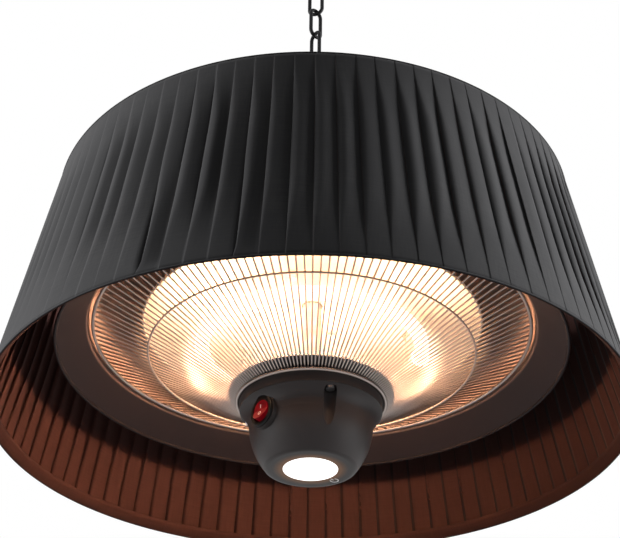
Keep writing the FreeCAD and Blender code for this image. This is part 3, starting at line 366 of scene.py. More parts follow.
def weave_group():
    """Plain weave on a flat cloth map in metres, with slubs along both threads."""
    tree, start, end = group_tree("plain weave", {"Threads per metre": 1700.0}, ("Height", "Slubs"))
    turns = math_node(tree, "MULTIPLY", start["Threads per metre"], math.pi)
    threads = []
    for along in split_place(tree, start["Vector"])[:2]:
        threads.append(math_node(tree, "SINE", math_node(tree, "MULTIPLY", along, turns)))
    crossing = math_node(tree, "MULTIPLY", *threads)
    feed(tree, spread(tree, crossing, -1.0, 1.0), end["Height"])
    streaks = []
    for stretch in ((SLUBS_ACROSS, SLUBS_ALONG, 1.0), (SLUBS_ALONG, SLUBS_ACROSS, 1.0)):
        mapping = tree.nodes.new("ShaderNodeMapping")
        set_sockets(mapping, Scale=stretch)
        feed(tree, start["Vector"], mapping.inputs["Vector"])
        streaks.append(noise(tree, mapping.outputs[0], 1.0))
    both = math_node(tree, "ADD", *streaks)
    feed(tree, spread(tree, both, 0.75, 1.25), end["Slubs"])
    return tree


def place_group(tree, name, vector, **values):
    """Outputs of a shared group, built when it is first asked for, with its own values."""
    makers = {"surface grain": grain_group, "plain weave": weave_group}
    node = tree.nodes.new("ShaderNodeGroup")
    node.node_tree = bpy.data.node_groups.get(name) or makers[name]()
    feed(tree, vector, node.inputs["Vector"])
    set_sockets(node, **values)
    return node.outputs


# Finishes

def new_finish(name):
    """Material with only its output and a principled shader."""
    material = bpy.data.materials.new(name)
    material.use_nodes = True
    tree = material.node_tree
    tree.nodes.clear()
    output = tree.nodes.new("ShaderNodeOutputMaterial")
    shader = tree.nodes.new("ShaderNodeBsdfPrincipled")
    feed(tree, shader.outputs[0], output.inputs["Surface"])
    return material, tree, shader


def object_place(tree):
    return tree.nodes.new("ShaderNodeTexCoord").outputs["Object"]


def shaded(base, factor):
    return tuple(min(1.0, c * factor) for c in base)


def toned(tree, factor, base, contrast):
    """Colour that is darker and lighter than a base in turn."""
    return mixed(tree, factor, shaded(base, 1.0 - contrast), shaded(base, 1.0 + contrast))


def gloss(tree, shader, value, roughness):
    """Roughness between two ends, as a value goes from 0 to 1."""
    feed(tree, spread(tree, value, 0.0, 1.0, *roughness), shader.inputs["Roughness"])


def bump(tree, shader, height, distance, strength=1.0):
    node = tree.nodes.new("ShaderNodeBump")
    set_sockets(node, Distance=distance, Strength=strength)
    feed(tree, height, node.inputs["Height"])
    feed(tree, node.outputs[0], shader.inputs["Normal"])


def dress(material, *names):
    """Give CAD nodes a finish."""
    for name in names:
        mesh = nodes[name].data
        mesh.materials.clear()
        mesh.materials.append(material)


def coated(name, base, roughness, *names, metallic=0.0, grain=1500.0, patches=18.0, depth=0.02 * MM,
           contrast=0.25, **constants):
    """Finish of CAD nodes with fine grain, uneven patches of colour and gloss, and a slight bump."""
    material, tree, shader = new_finish(name)
    worn = place_group(tree, "surface grain", object_place(tree), Grain_scale=grain, Patch_scale=patches)
    feed(tree, toned(tree, worn["Patches"], base, contrast), shader.inputs["Base Color"])
    gloss(tree, shader, worn["Patches"], roughness)
    bump(tree, shader, worn["Grain"], depth)
    set_sockets(shader, Metallic=metallic, **constants)
    dress(material, *names)
    return material


def reflector_finish(base, tint):
    """Spun and polished sheet metal with fine rings round the axis, and a heat tint in a ring."""
    material, tree, shader = new_finish("polished reflector")
    place = object_place(tree)
    x, y, z = split_place(tree, place)
    radius = hypotenuse(tree, x, y)
    along = tree.nodes.new("ShaderNodeCombineXYZ")
    feed(tree, radius, along.inputs["X"])
    feed(tree, z, along.inputs["Y"])
    rings = spread(tree, noise(tree, along.outputs[0], RINGS_PER_METRE), 0.3, 0.7)
    out = math_node(tree, "SUBTRACT", radius, HEAT_RADIUS)
    up = math_node(tree, "SUBTRACT", z, HEAT_Z)
    heat = spread(tree, hypotenuse(tree, out, up), 0.0, HEAT_REACH, 1.0, 0.0)
    worn = place_group(tree, "surface grain", place, Grain_scale=900.0, Patch_scale=25.0)
    plain = mixed(tree, worn["Patches"], shaded(base, 0.88), base)
    feed(tree, mixed(tree, heat, plain, tint), shader.inputs["Base Color"])
    gloss(tree, shader, rings, (0.42, 0.50))
    bump(tree, shader, rings, 0.004 * MM, 0.4)
    set_sockets(shader, Metallic=1.0, Coat_Weight=0.3, Coat_Roughness=0.08)
    return material


def outwards(tree, up=0.0):
    """How far a surface faces away from the heater's axis, or up: below 0 where it faces the axis."""
    place = tree.nodes.new("ShaderNodeTexCoord")
    level = tree.nodes.new("ShaderNodeVectorMath")
    level.operation = "MULTIPLY_ADD"
    level.inputs[1].default_value = (1.0, 1.0, 0.0)
    level.inputs[2].default_value = (0.0, 0.0, up)
    feed(tree, place.outputs["Object"], level.inputs[0])
    along = tree.nodes.new("ShaderNodeVectorMath")
    along.operation = "DOT_PRODUCT"
    feed(tree, level.outputs[0], along.inputs[0])
    feed(tree, place.outputs["Normal"], along.inputs[1])
    return along.outputs["Value"]


def hood_finish(paint, crown):
    """Black paint on the hood's outside and brim, and bare sheet inside it above the mouth."""
    material, tree, shader = new_finish("hood paint")
    place = object_place(tree)
    worn = place_group(tree, "surface grain", place, Grain_scale=1800.0, Patch_scale=14.0)
    height = split_place(tree, place)[2]
    above = spread(tree, height, HOOD_MOUTH_Z - HOOD_EDGE_BLUR, HOOD_MOUTH_Z + HOOD_EDGE_BLUR)
    inside = spread(tree, outwards(tree, HOOD_LEAN), -SIDE_BLUR, SIDE_BLUR, 1.0, 0.0)
    bare = math_node(tree, "MULTIPLY", above, inside)
    # Both tones carry the warm tint painted into the hood's colours
    tones = [toned(tree, worn["Patches"], base, 0.15) for base in (paint, crown)]
    feed(tree, mixed(tree, bare, *tones), shader.inputs["Base Color"])
    gloss(tree, shader, worn["Patches"], (0.5, 0.62))
    bump(tree, shader, worn["Grain"], 0.01 * MM, 0.5)
    set_sockets(shader, Specular_IOR_Level=0.2)
    return material


def pod_finish(base, lit):
    """Satin plastic, with the lens's warm light painted into the colour of the flat ring round the lens."""
    material = coated("satin pod plastic", base, (0.42, 0.52), grain=2200.0, patches=22.0,
                      depth=0.015 * MM, contrast=0.12, Specular_IOR_Level=0.26)
    tree = material.node_tree
    x, y, z = split_place(tree, object_place(tree))
    far = LENS_RADIUS + PAINTED_LENS_GLOW_REACH
    near = spread(tree, hypotenuse(tree, x, y), LENS_RADIUS, far, 1.0, 0.0)
    low, high = POD_FACE_BLUR
    level = spread(tree, z, POD_FLOOR_Z + low, POD_FLOOR_Z + high, 1.0, 0.0)
    # Painted light: the pod's colour warms towards the edge of the lens
    light = math_node(tree, "MULTIPLY", math_node(tree, "POWER", near, 2.0), level)
    tint = tree.nodes["Principled BSDF"].inputs["Base Color"]
    feed(tree, mixed(tree, light, tint.links[0].from_socket, lit), tint)
    return material


def glowing(name, light, strength, base, roughness=0.35, spots=400.0, seen=None):
    """Lit surface whose light is a little uneven, as hot quartz or an opal lens is.

    A colour that it is seen in keeps it from outshining the wires in front of it.
    """
    material, tree, shader = new_finish(name)
    worn = place_group(tree, "surface grain", object_place(tree), Grain_scale=spots, Patch_scale=30.0)
    lit = mixed(tree, worn["Patches"], shaded(light, 0.9), light)
    if seen:
        path = tree.nodes.new("ShaderNodeLightPath")
        lit = mixed(tree, path.outputs["Is Camera Ray"], lit, shaded(seen, 1.0 / strength))
    feed(tree, lit, shader.inputs["Emission Color"])
    feed(tree, mixed(tree, worn["Grain"], shaded(base, 0.9), base), shader.inputs["Base Color"])
    set_sockets(shader, Emission_Strength=strength, Roughness=roughness)
    return material


def cloth_finish(name, base, thread, lining, threads=1700.0, strip=None):
    """Woven cloth on its flat map, with slubs, a soft sheen and a lining towards the axis.

    Shade is painted onto the lining, darker at the right. On cloth that is pleated in strips, painted
    crease shadows darken the edges of its folds there too, and the inner folds count as lining.
    """
    material, tree, shader = new_finish(name)
    flat = tree.nodes.new("ShaderNodeUVMap")
    flat.uv_map = "cloth"
    weave = place_group(tree, "plain weave", flat.outputs[0], Threads_per_metre=threads)
    place = object_place(tree)
    worn = place_group(tree, "surface grain", place, Grain_scale=500.0, Patch_scale=9.0)
    woven = mixed(tree, weave["Slubs"], base, thread)
    cloth = mixed(tree, worn["Patches"], shaded(base, 0.85), woven)
    # Painted shade: the lining darkens from left to right
    right = spread(tree, split_place(tree, place)[0], -PAINTED_SHADE_REACH, PAINTED_SHADE_REACH)
    tones = []
    for bright in (1.0, LINING_STREAK):
        tones.append(mixed(tree, right, shaded(lining, bright), shaded(lining, bright * PAINTED_SHADE_RIGHT)))
    inner = mixed(tree, weave["Slubs"], *tones)
    outer = outwards(tree)
    if strip:
        strips = math_node(tree, "DIVIDE", split_place(tree, flat.outputs[0])[0], strip)
        from_fold = math_node(tree, "PINGPONG", strips, 0.5)
        # Painted crease shadow: the edges of the inner folds darken, more towards the right
        edge = math_node(tree, "MULTIPLY", spread(tree, from_fold, *CREASE_SHADOW_SPAN, 1.0, 0.0), right)
        inner = mixed(tree, edge, inner, shaded(lining, CREASE_SHADOW_DARKNESS))
        turned = spread(tree, from_fold, *FOLD_TURN, FOLD_TURN_SHIFT, 0.0)
        outer = math_node(tree, "SUBTRACT", outer, turned)
    outside = spread(tree, outer, -SIDE_BLUR, SIDE_BLUR)
    feed(tree, mixed(tree, outside, inner, cloth), shader.inputs["Base Color"])
    gloss(tree, shader, weave["Slubs"], (0.82, 0.95))
    bump(tree, shader, weave["Height"], 0.06 * MM, 0.5)
    set_sockets(shader, Sheen_Weight=0.04, Sheen_Roughness=0.5, Sheen_Tint=SHEEN_TINT,
                Specular_IOR_Level=0.06)
    return material


def ink_finish(name, base, roughness, light, strength):
    """Thin even print with a little painted glow of its own, so that it reads in shade."""
    return coated(name, base, roughness, grain=4000.0, patches=900.0, depth=0.005 * MM, contrast=0.08,
                  Emission_Color=(*light, 1.0), Emission_Strength=strength)


# Helpers for new pieces

def finished_piece(piece, material, body):
    """Last steps of a new piece: its finish and the body that it moves with."""
    piece.data.materials.append(material)
    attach(piece, body)


def select_only(*pieces):
    """Select pieces and nothing else, with the first of them active."""
    bpy.ops.object.select_all(action="DESELECT")
    for piece in reversed(pieces):
        piece.select_set(True)
        bpy.context.view_layer.objects.active = piece


def thicken(piece, thickness, offset):
    select_only(piece)
    modifier = piece.modifiers.new("thickness", "SOLIDIFY")
    modifier.thickness = thickness
    modifier.offset = offset
    bpy.ops.object.modifier_apply(modifier=modifier.name)


def settle(piece, place):
    """Put a piece's place into its mesh, with its object at the origin."""
    piece.data.transform(place @ piece.matrix_world)
    piece.matrix_world = Matrix.Identity(4)


def smoothstep(low, high, value):
    share = min(1.0, max(0.0, (value - low) / (high - low)))
    return share * share * (3.0 - 2.0 * share)


def at_azimuth(radius, turn, z):
    return Vector((radius * math.sin(turn), -radius * math.cos(turn), z))


# Shade

def shade_radius(settings, z):
    """Outside radius of the shade at a height."""
    share = (z - RIM_Z) / (SHADE_TOP_Z - RIM_Z)
    return SHADE_BOTTOM_RADIUS + (settings.top_radius - SHADE_BOTTOM_RADIUS) * share


def pleat_habits(count):
    """Small differences from pleat to pleat, of which a few gape or are puffed."""
    chance = random.Random(PLEAT_SEED)
    habits = []
    for k in range(count):
        habits.append({
            "place": chance.uniform(-0.7, 0.7) * MM,
            "open": chance.uniform(0.72, 1.3),
            "lean": chance.uniform(-0.9, 0.9) * MM,
            "bow": chance.uniform(0.1, 0.45) * MM,
            "middle": chance.uniform(0.4, 0.6),
            "gape": 0.0,
            "wrinkle": chance.uniform(0.02, 0.08) * MM,
            "phase": chance.uniform(0.0, 2.0 * math.pi),
        })
    for azimuth, gape in GAPING_PLEATS:
        habits[pleat_at(count, azimuth)]["gape"] = gape
    puffed = habits[pleat_at(count, PUFFED_PLEAT)]
    puffed["open"] = PUFFED_OPENING
    puffed["wrinkle"] = PUFFED_WRINKLE
    return habits


def pleat_at(count, azimuth):
    return round(azimuth / 360.0 * count) % count


def pleat_section(settings, habit, radius, share):
    """Section of one pleat at a height: pairs of distance along the shade and depth under its outside.

    It starts where the cloth turns back under the pleat, comes out to the crease on the pleat before,
    rolls over a soft round fold and sinks towards the crease of the next pleat.
    """
    pitch = 2.0 * math.pi * radius / settings.pleat_count
    open_share = smoothstep(*PLEAT_OPENS, share) * (1.0 - smoothstep(*PLEAT_CLOSES, share))
    gape = habit["gape"] * smoothstep(*GAPE_OPENS, share) * (1.0 - smoothstep(*GAPE_CLOSES, share))
    opening = open_share * habit["open"]
    step = settings.pressed_step + (settings.open_step - settings.pressed_step) * opening + GAPE_STEP * gape
    fold = PRESSED_FOLD * settings.cloth_thickness + settings.fold_width * opening
    spare = settings.cloth_strip - pitch
    lap = (spare * spare - step * step) / (2.0 * spare)
    wave = habit["wrinkle"] * math.sin(WRINKLE_WAVES * share + habit["phase"]) * open_share
    bow = habit["bow"] * open_share
    edge = gape + habit["place"] + habit["lean"] * (share - 0.5) * open_share
    crease = CREASE_SHARE * step
    points = [(lap + edge, step), (0.5 * lap + edge, 0.5 * (step + crease)), (edge, crease)]
    for along, depth in FOLD_CURVE:
        points.append((along * fold + edge, depth * crease))
    for along in PANEL_PLACES:
        place = fold + along * (pitch - fold)
        sink = step * (place - fold) / (pitch + lap - fold)
        crown = bow * math.sin(math.pi * min(1.0, along / (2.0 * habit["middle"])))
        points.append((place + edge * (1.0 - along), sink - crown + wave * math.sin(math.pi * along)))
    return points


def woven_sheet(name, rings, step, runs):
    """Sheet through closed rings of points, with its flat map: columns a step apart and rings at runs."""
    mesh = bmesh.new()
    flat = mesh.loops.layers.uv.new("cloth")
    grid = [[mesh.verts.new(place) for place in ring] for ring in rings]
    columns = len(grid[0])
    for row in range(len(grid) - 1):
        lower, upper = grid[row], grid[row + 1]
        low, high = runs[row], runs[row + 1]
        for column in range(columns):
            after = (column + 1) % columns
            face = mesh.faces.new((lower[column], lower[after], upper[after], upper[column]))
            face.smooth = True
            left = step * column
            right = step * (column + 1)
            corners = ((left, low), (right, low), (right, high), (left, high))
            for loop, corner in zip(face.loops, corners):
                loop[flat].uv = corner
    data = bpy.data.meshes.new(name)
    mesh.to_mesh(data)
    mesh.free()
    return data


def cloth_mesh(settings):
    """Pleated cone of cloth as one sheet, and its slant height."""
    count = settings.pleat_count
    habits = pleat_habits(count)
    low = RIM_Z + CLOTH_END
    high = SHADE_TOP_Z - CLOTH_END
    slant = math.hypot(high - low, SHADE_BOTTOM_RADIUS - settings.top_radius)
    rings = []
    runs = []
    for row in range(CLOTH_ROWS + 1):
        # Rows lie closer together towards the rims
        even = row / CLOTH_ROWS
        eased = 0.5 - 0.5 * math.cos(math.pi * even)
        share = 0.5 * eased + 0.5 * even
        z = low + (high - low) * share
        outside = shade_radius(settings, z) - settings.edge_inset
        ring = []
        for k in range(count):
            turn = 2.0 * math.pi * k / count
            for along, depth in pleat_section(settings, habits[k], outside, share):
                ring.append(at_azimuth(outside - depth, turn + along / outside, z))
        rings.append(ring)
        runs.append(slant * even)
    per_pleat = len(rings[0]) // count
    return woven_sheet("shade_cloth", rings, settings.cloth_strip / per_pleat, runs), slant


def strip_mesh(settings, name, profile):
    """Cloth strip round a rim through section points, fluttering a little, and its flat size."""
    count = BINDING_COLUMNS * settings.pleat_count
    chance = random.Random(BINDING_SEED)
    swell = [chance.uniform(-1.0, 1.0) * BINDING_FLUTTER for _ in range(count)]
    rings = []
    runs = [0.0]
    for row, (radius, z) in enumerate(profile):
        free = 1.0 if row in (0, len(profile) - 1) else BINDING_HOLD
        ring = []
        for k in range(count):
            eased = (swell[k - 1] + 2.0 * swell[k] + swell[(k + 1) % count]) / 4.0
            ring.append(at_azimuth(radius - abs(eased) * free, 2.0 * math.pi * k / count, z))
        rings.append(ring)
        if row > 0:
            runs.append(runs[-1] + math.dist(profile[row - 1], profile[row]))
    girth = 2.0 * math.pi * profile[0][0]
    return woven_sheet(name, rings, girth / count, runs), (girth, runs[-1])


def sheet_piece(data, thickness):
    """Object of a sheet mesh, given its thickness inwards."""
    piece = bpy.data.objects.new(data.name, data)
    bpy.context.scene.collection.objects.link(piece)
    thicken(piece, thickness, -1.0)
    return piece


class HEATER_OT_shade_cloth(bpy.types.Operator):
    """Fold the shade's cloth into knife pleats between its two rings"""
    bl_idname = "heater.shade_cloth"
    bl_label = "Pleated cloth"

    def execute(self, context):
        settings = context.scene.heater_shade
        data, slant = cloth_mesh(settings)
        piece = sheet_piece(data, settings.cloth_thickness)
        finish = cloth_finish("charcoal cloth", settings.cloth_colour, settings.thread_colour,
                              settings.lining_colour, strip=settings.cloth_strip)
        finished_piece(piece, finish, "heater")
        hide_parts("shade_fabric")
        return {"FINISHED"}


def outer_turn(settings, rim_z, width, turn):
    """Outer part of a binding's section, from its edge, a width up or down from the rim, round the rim."""
    skirt_z = rim_z + width
    section = [(shade_radius(settings, skirt_z) - BINDING_SKIN, skirt_z)]
    for inset, distance in turn:
        z = rim_z + math.copysign(distance, width)
        section.append((shade_radius(settings, rim_z) - inset, z))
    return section


class HEATER_OT_shade_bindings(bpy.types.Operator):
    """Fold cloth strips over the shade's top and bottom rims"""
    bl_idname = "heater.shade_bindings"
    bl_label = "Bindings"

    def execute(self, context):
        settings = context.scene.heater_shade
        finish = cloth_finish("binding cloth", settings.binding_colour, settings.cloth_colour,
                              shaded(settings.lining_colour, 0.9), threads=2200.0)
        top = outer_turn(settings, SHADE_TOP_Z, -settings.binding_top, TOP_TURN)
        for inset, distance in TOP_INNER_TURN:
            top.append((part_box("shade_top_ring")[1].x - inset, SHADE_TOP_Z - distance))
        bottom = outer_turn(settings, RIM_Z, settings.binding_bottom, BOTTOM_TURN)
        ring_low, ring_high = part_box("shade_bottom_ring")
        for z in (ring_low.z, ring_high.z + BOTTOM_INNER_RISE):
            bottom.append((ring_high.x - BOTTOM_INNER_INSET, z))
        for rim, profile in (("top", top), ("bottom", bottom)):
            data, flat = strip_mesh(settings, f"{rim}_binding_strip", profile)
            if rim == "bottom":
                data.flip_normals()
            piece = sheet_piece(data, settings.cloth_thickness)
            finished_piece(piece, finish, "heater")
            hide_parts(f"shade_{rim}_binding")
        return {"FINISHED"}


# Printed marks

def pick(piece, parts, kind, wanted):
    """Select only the faces or edges that a test wants, in edit mode."""
    bpy.ops.mesh.select_all(action="DESELECT")
    bpy.ops.object.mode_set(mode="OBJECT")
    for part in getattr(piece.data, parts):
        part.select = wanted(part)
    bpy.ops.object.mode_set(mode="EDIT")
    bpy.ops.mesh.select_mode(type=kind)


def flat_ring(outer, inner, thickness, gap):
    """Thin ring in the XY plane, open by an angle at its +Y side."""
    def in_gap(face):
        return abs(math.atan2(face.center.x, face.center.y)) < gap / 2.0

    select_only()
    bpy.ops.mesh.primitive_circle_add(vertices=RING_SIDES, radius=outer, fill_type="NOTHING")
    ring = bpy.context.object
    bpy.ops.object.mode_set(mode="EDIT")
    bpy.ops.mesh.select_all(action="SELECT")
    bpy.ops.mesh.extrude_edges_move()
    bpy.ops.transform.resize(value=(inner / outer, inner / outer, 1.0))
    pick(ring, "polygons", "FACE", in_gap)
    bpy.ops.mesh.delete(type="FACE")
    bpy.ops.mesh.select_all(action="SELECT")
    bpy.ops.mesh.normals_make_consistent(inside=False)
    bpy.ops.object.mode_set(mode="OBJECT")
    thicken(ring, thickness, 0.0)
    return ring


def flat_bar(width, height, thickness):
    """Thin bar in the XY plane with rounded ends, along Y."""
    def upright(edge):
        first, second = (bar.data.vertices[v].co for v in edge.vertices)
        return abs(first.z - second.z) > thickness / 2.0

    select_only()
    bpy.ops.mesh.primitive_cube_add(size=1.0)
    bar = bpy.context.object
    bpy.ops.object.mode_set(mode="EDIT")
    bpy.ops.mesh.select_all(action="SELECT")
    bpy.ops.transform.resize(value=(width, height, thickness))
    pick(bar, "edges", "EDGE", upright)
    bpy.ops.mesh.bevel(offset=BAR_ROUNDING * width, segments=4, affect="EDGES")
    bpy.ops.object.mode_set(mode="OBJECT")
    return bar


def joined(name, *pieces):
    """Several pieces as one object with a name."""
    select_only(*pieces)
    bpy.ops.object.join()
    whole = bpy.context.object
    whole.name = name
    whole.data.name = name
    return whole


def rocker_face(half, offset):
    """Place on one half of the rocker's face: its local Z out of the face, its Y up the rocker."""
    slope = math.atan2(ROCKER_EDGE_X - ROCKER_VALLEY_X, ROCKER_RADIUS)
    up = Vector((half * math.sin(slope), 0.0, math.cos(slope)))
    out = Vector((math.cos(slope), 0.0, -half * math.sin(slope)))
    face = Matrix((up.cross(out), up, out)).transposed().to_4x4()
    face.translation = (ROCKER_VALLEY_X + offset * math.sin(slope), 0.0, half * offset * math.cos(slope))
    pivot = Matrix.Translation((ROCKER_PIVOT_X, 0.0, 0.0))
    tilt = pivot @ Matrix.Rotation(ROCKER_TILT, 4, "Y") @ pivot.inverted()
    turn = Matrix.Rotation(SWITCH_AZIMUTH - math.pi / 2.0, 4, "Z")
    return turn @ Matrix.Translation((SWITCH_REACH, 0.0, SWITCH_Z)) @ tilt @ face


class HEATER_OT_printed_marks(bpy.types.Operator):
    """Print the on and off marks on the rocker and the standby sign under the pod"""
    bl_idname = "heater.printed_marks"
    bl_label = "Printed marks"

    def execute(self, context):
        marks = context.scene.heater_marks
        self.rocker_marks(marks)
        self.standby_sign(marks)
        return {"FINISHED"}

    def rocker_marks(self, marks):
        size = marks.rocker_mark
        on_mark = flat_bar(marks.stroke, size, marks.ink_thickness)
        settle(on_mark, rocker_face(1.0, marks.rocker_mark_offset))
        off_mark = flat_ring(size / 2.0, size / 2.0 - marks.stroke, marks.ink_thickness, 0.0)
        settle(off_mark, rocker_face(-1.0, marks.rocker_mark_offset))
        white = ink_finish("white ink", marks.ink, (0.4, 0.6), marks.rocker_ink_light, 0.25)
        finished_piece(joined("rocker_marks", on_mark, off_mark), white, "rocker")

    def standby_sign(self, marks):
        radius = marks.standby_radius
        ring = flat_ring(radius, radius - marks.standby_stroke, marks.ink_thickness, marks.standby_gap)
        bar = flat_bar(marks.standby_stroke, radius, marks.ink_thickness)
        settle(bar, Matrix.Translation((0.0, SIGN_BAR_RISE * radius, 0.0)))
        sign = joined("standby_sign", ring, bar)
        x, y = marks.standby_place
        turn = Matrix.Rotation(math.atan2(y, x) + math.pi / 2.0, 4, "Z")
        face_down = Matrix.Rotation(math.pi, 4, "Y")
        settle(sign, Matrix.Translation((x, y, POD_FLOOR_Z)) @ turn @ face_down)
        grey = ink_finish("grey ink", shaded(marks.ink, 0.85), (0.45, 0.6), marks.standby_ink_light, 0.22)
        finished_piece(sign, grey, "heater")


# Finishes of the CAD nodes

class HEATER_OT_metal_finishes(bpy.types.Operator):
    """Finish the chain, hood, guard and the other metal pieces"""
    bl_idname = "heater.metal_finishes"
    bl_label = "Metal finishes"

    def execute(self, context):
        metal = context.scene.heater_metal
        links = [name for name in nodes if name.startswith("chain_link_")]
        coated("black coated steel", metal.black_steel, (0.4, 0.55),
               "ceiling_plate", "ceiling_hook", "eye_bolt", *links,
               grain=2500.0, patches=60.0, depth=0.03 * MM, contrast=0.35, Specular_IOR_Level=0.12)
        dress(hood_finish(metal.hood_paint, metal.hood_crown), "hood")
        # The cover shares the hood paint and its painted warm tint
        coated("cover paint", metal.hood_paint, (0.45, 0.6), "top_cover",
               grain=1800.0, patches=14.0, Specular_IOR_Level=0.2)
        coated("zinc plate", metal.zinc, (0.28, 0.5),
               "eye_bolt_nut", "cover_screws", "cover_nuts", "spider_hub", "spider_arms", "stem_nuts",
               "reflector_posts", "reflector_screws", "centre_stem", "shield_spacer", "pod_screws",
               "led_posts", "board_posts", "tube_clips", "guard_clips",
               metallic=1.0, grain=1200.0, patches=120.0, contrast=0.15)
        coated("bright guard wire", metal.guard_wire, (0.32, 0.45),
               "guard_outer_ring", "guard_mid_ring", "guard_inner_ring", "guard_wires",
               metallic=1.0, grain=3000.0, patches=45.0, depth=0.01 * MM, contrast=0.12)
        coated("grey coated sheet", metal.grey_sheet, (0.36, 0.52), "hub_shield",
               metallic=0.6, patches=40.0, contrast=0.12)
        coated("black ring wire", shaded(metal.black_steel, 2.0), (0.4, 0.6),
               "shade_top_ring", "shade_bottom_ring", grain=2500.0, patches=40.0)
        coated("brass tab", metal.brass, (0.25, 0.45), "switch_terminals",
               metallic=1.0, grain=2500.0, patches=200.0, contrast=0.15)
        dress(reflector_finish(metal.reflector, metal.heat_tint), "reflector")
        return {"FINISHED"}


class HEATER_OT_glow_finishes(bpy.types.Operator):
    """Light the heating ring and the lens"""
    bl_idname = "heater.glow_finishes"
    bl_label = "Glowing pieces"

    def execute(self, context):
        glow = context.scene.heater_glow
        heat = (glow.glow_colour, glow.glow_strength)
        lamp = (glow.lamp_colour, glow.lamp_strength)
        dress(glowing("hot quartz", *heat, glow.quartz, seen=glow.seen_colour), "quartz_tube")
        dress(glowing("hot wire", *heat, glow.filament, spots=2500.0), "filament")
        dress(glowing("lit opal lens", *lamp, glow.opal, roughness=0.25), "led_lens")
        dress(glowing("lit phosphor", *lamp, glow.phosphor), "led_chips")
        return {"FINISHED"}


class HEATER_OT_plastic_finishes(bpy.types.Operator):
    """Finish the pod, the switch and the other plastic, ceramic and rubber pieces"""
    bl_idname = "heater.plastic_finishes"
    bl_label = "Plastic finishes"

    def execute(self, context):
        plastic = context.scene.heater_plastic
        dress(pod_finish(plastic.pod, plastic.pod_painted_glow), *POD)
        coated("black switch plastic", plastic.switch, (0.38, 0.5), "switch_body",
               grain=3000.0, patches=90.0, depth=0.008 * MM, Specular_IOR_Level=0.2)
        coated("black moulded plastic", shaded(plastic.switch, 2.0), (0.4, 0.55),
               "cable_gland", "gland_nut", "board_components", grain=2500.0, patches=90.0)
        coated("see-through red", plastic.rocker, (0.45, 0.55), "rocker_button",
               grain=2500.0, patches=220.0, depth=0.004 * MM, Specular_IOR_Level=0.06,
               Emission_Color=(*plastic.rocker_light, 1.0), Emission_Strength=0.12)
        coated("unglazed ceramic", plastic.ceramic, (0.55, 0.8), "tube_end_caps",
               grain=1800.0, patches=110.0, contrast=0.1)
        coated("silicone sleeve", plastic.sleeve, (0.5, 0.7), "supply_wires", "tube_leads",
               grain=2000.0, patches=80.0, contrast=0.12)
        coated("terminal plastic", plastic.terminal, (0.35, 0.5), "terminal_block",
               grain=2000.0, patches=60.0, contrast=0.1)
        coated("green board", plastic.board, (0.25, 0.4), "led_board", "control_board",
               grain=900.0, patches=160.0, contrast=0.3)
        return {"FINISHED"}


# Stage

def background_rays(tree):
    """Mask of the rays that see the white background: straight, mirrored or through glass."""
    path = tree.nodes.new("ShaderNodeLightPath")
    seen = math_node(tree, "MAXIMUM", path.outputs["Is Camera Ray"], path.outputs["Is Glossy Ray"])
    return math_node(tree, "MAXIMUM", seen, path.outputs["Is Transmission Ray"])


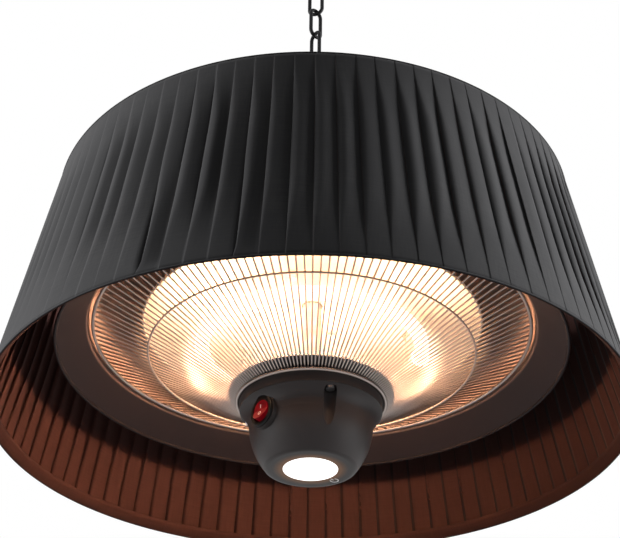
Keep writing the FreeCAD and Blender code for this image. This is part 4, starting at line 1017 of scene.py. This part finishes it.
class HEATER_OT_stage(bpy.types.Operator):
    """Set up the floor, the soft light, the lamps and the camera"""
    bl_idname = "heater.stage"
    bl_label = "Stage"

    def execute(self, context):
        stage = context.scene.heater_stage
        self.floor(stage)
        self.sky(context, stage)
        self.lamps(context, stage)
        self.camera(context, stage)
        return {"FINISHED"}

    def floor(self, stage):
        select_only()
        bpy.ops.mesh.primitive_plane_add(size=FLOOR_SIZE, location=(0.0, 0.0, stage.floor_z))
        floor = bpy.context.object
        floor.name = "floor"
        pale = coated("pale floor", stage.floor_colour, (0.7, 0.9), grain=60.0, patches=0.6,
                      depth=0.1 * MM, contrast=0.03, Emission_Color=(*stage.floor_colour, 1.0))
        tree = pale.node_tree
        strength = tree.nodes["Principled BSDF"].inputs["Emission Strength"]
        feed(tree, background_rays(tree), strength)
        floor.data.materials.append(pale)

    def sky(self, context, stage):
        world = bpy.data.worlds.new("studio")
        context.scene.world = world
        world.use_nodes = True
        tree = world.node_tree
        tree.nodes.clear()
        output = tree.nodes.new("ShaderNodeOutputWorld")
        mix = tree.nodes.new("ShaderNodeMixShader")
        feed(tree, background_rays(tree), mix.inputs[0])
        for slot, strength in ((1, stage.sky_strength), (2, 1.0)):
            light = tree.nodes.new("ShaderNodeBackground")
            set_sockets(light, Color=WHITE, Strength=strength)
            feed(tree, light.outputs[0], mix.inputs[slot])
        feed(tree, mix.outputs[0], output.inputs["Surface"])

    def lamps(self, context, stage):
        """A lamp for the whole heater and one for the pod and its shield, on each side"""
        shade = Vector((0.0, 0.0, RIM_Z + LAMP_AIM))
        self.lamp(context, "left lamp", LAMP_PLACE * MIRROR, shade, stage.left_power)
        self.lamp(context, "right lamp", LAMP_PLACE, shade, stage.right_power)
        belly = Vector((0.0, 0.0, RIM_Z + POD_LAMP_AIM))
        lit = bpy.data.collections.new("pod")
        for name in (*POD, "hub_shield"):
            lit.objects.link(nodes[name])
        for step in (POD_LAMP_STEP * MIRROR, POD_LAMP_STEP):
            lamp = self.lamp(context, "pod lamp", belly + step, belly, stage.pod_power)
            lamp.light_linking.receiver_collection = lit

    def lamp(self, context, name, place, target, power):
        light = bpy.data.lights.new(name, "AREA")
        light.shape = "RECTANGLE"
        light.size, light.size_y = LAMP_SIZE
        light.spread = LAMP_SPREAD
        light.energy = power
        lamp = bpy.data.objects.new(name, light)
        context.scene.collection.objects.link(lamp)
        lamp.location = place
        lamp.rotation_euler = (target - place).to_track_quat("-Z", "Y").to_euler()
        lamp.visible_camera = False
        return lamp

    def camera(self, context, stage):
        data = bpy.data.cameras.new("camera")
        data.sensor_width = 36.0
        data.lens = stage.camera_lens
        data.shift_x = stage.camera_shift
        data.clip_start = 0.01
        data.clip_end = 50.0
        camera = bpy.data.objects.new("camera", data)
        context.scene.collection.objects.link(camera)
        tilt = Matrix.Rotation(math.pi / 2.0 + stage.camera_tilt, 4, "X")
        roll = Matrix.Rotation(stage.camera_roll, 4, "Z")
        camera.matrix_world = Matrix.Translation(stage.camera_place) @ tilt @ roll
        context.scene.camera = camera
        context.scene.view_settings.view_transform = "Standard"


class HEATER_PT_panel(bpy.types.Panel):
    """Sizes, colours and steps of the heater"""
    bl_label = "Ceiling patio heater"
    bl_idname = "HEATER_PT_panel"
    bl_space_type = "VIEW_3D"
    bl_region_type = "UI"
    bl_category = "Heater"

    def draw(self, context):
        layout = self.layout
        for operator in STEPS:
            layout.operator(operator.bl_idname)
        for name, group in SETTINGS.items():
            box = layout.box()
            box.label(text=group.__doc__)
            for field in group.__annotations__:
                box.prop(getattr(context.scene, name), field)


SETTINGS = {
    "heater_shade": HeaterShadeSettings,
    "heater_metal": HeaterMetalSettings,
    "heater_glow": HeaterGlowSettings,
    "heater_plastic": HeaterPlasticSettings,
    "heater_marks": HeaterMarkSettings,
    "heater_stage": HeaterStageSettings,
}
STEPS = (
    HEATER_OT_stage,
    HEATER_OT_metal_finishes,
    HEATER_OT_glow_finishes,
    HEATER_OT_plastic_finishes,
    HEATER_OT_shade_cloth,
    HEATER_OT_shade_bindings,
    HEATER_OT_printed_marks,
)


def register():
    for name, group in SETTINGS.items():
        bpy.utils.register_class(group)
        setattr(bpy.types.Scene, name, bpy.props.PointerProperty(type=group))
    for operator in STEPS:
        bpy.utils.register_class(operator)
    bpy.utils.register_class(HEATER_PT_panel)


def unregister():
    bpy.utils.unregister_class(HEATER_PT_panel)
    for operator in reversed(STEPS):
        bpy.utils.unregister_class(operator)
    for name, group in SETTINGS.items():
        delattr(bpy.types.Scene, name)
        bpy.utils.unregister_class(group)


def main():
    register()
    bpy.ops.heater.stage()
    bpy.ops.heater.metal_finishes()
    bpy.ops.heater.glow_finishes()
    bpy.ops.heater.plastic_finishes()
    bpy.ops.heater.shade_cloth()
    bpy.ops.heater.shade_bindings()
    bpy.ops.heater.printed_marks()


if __name__ == "__main__":
    main()
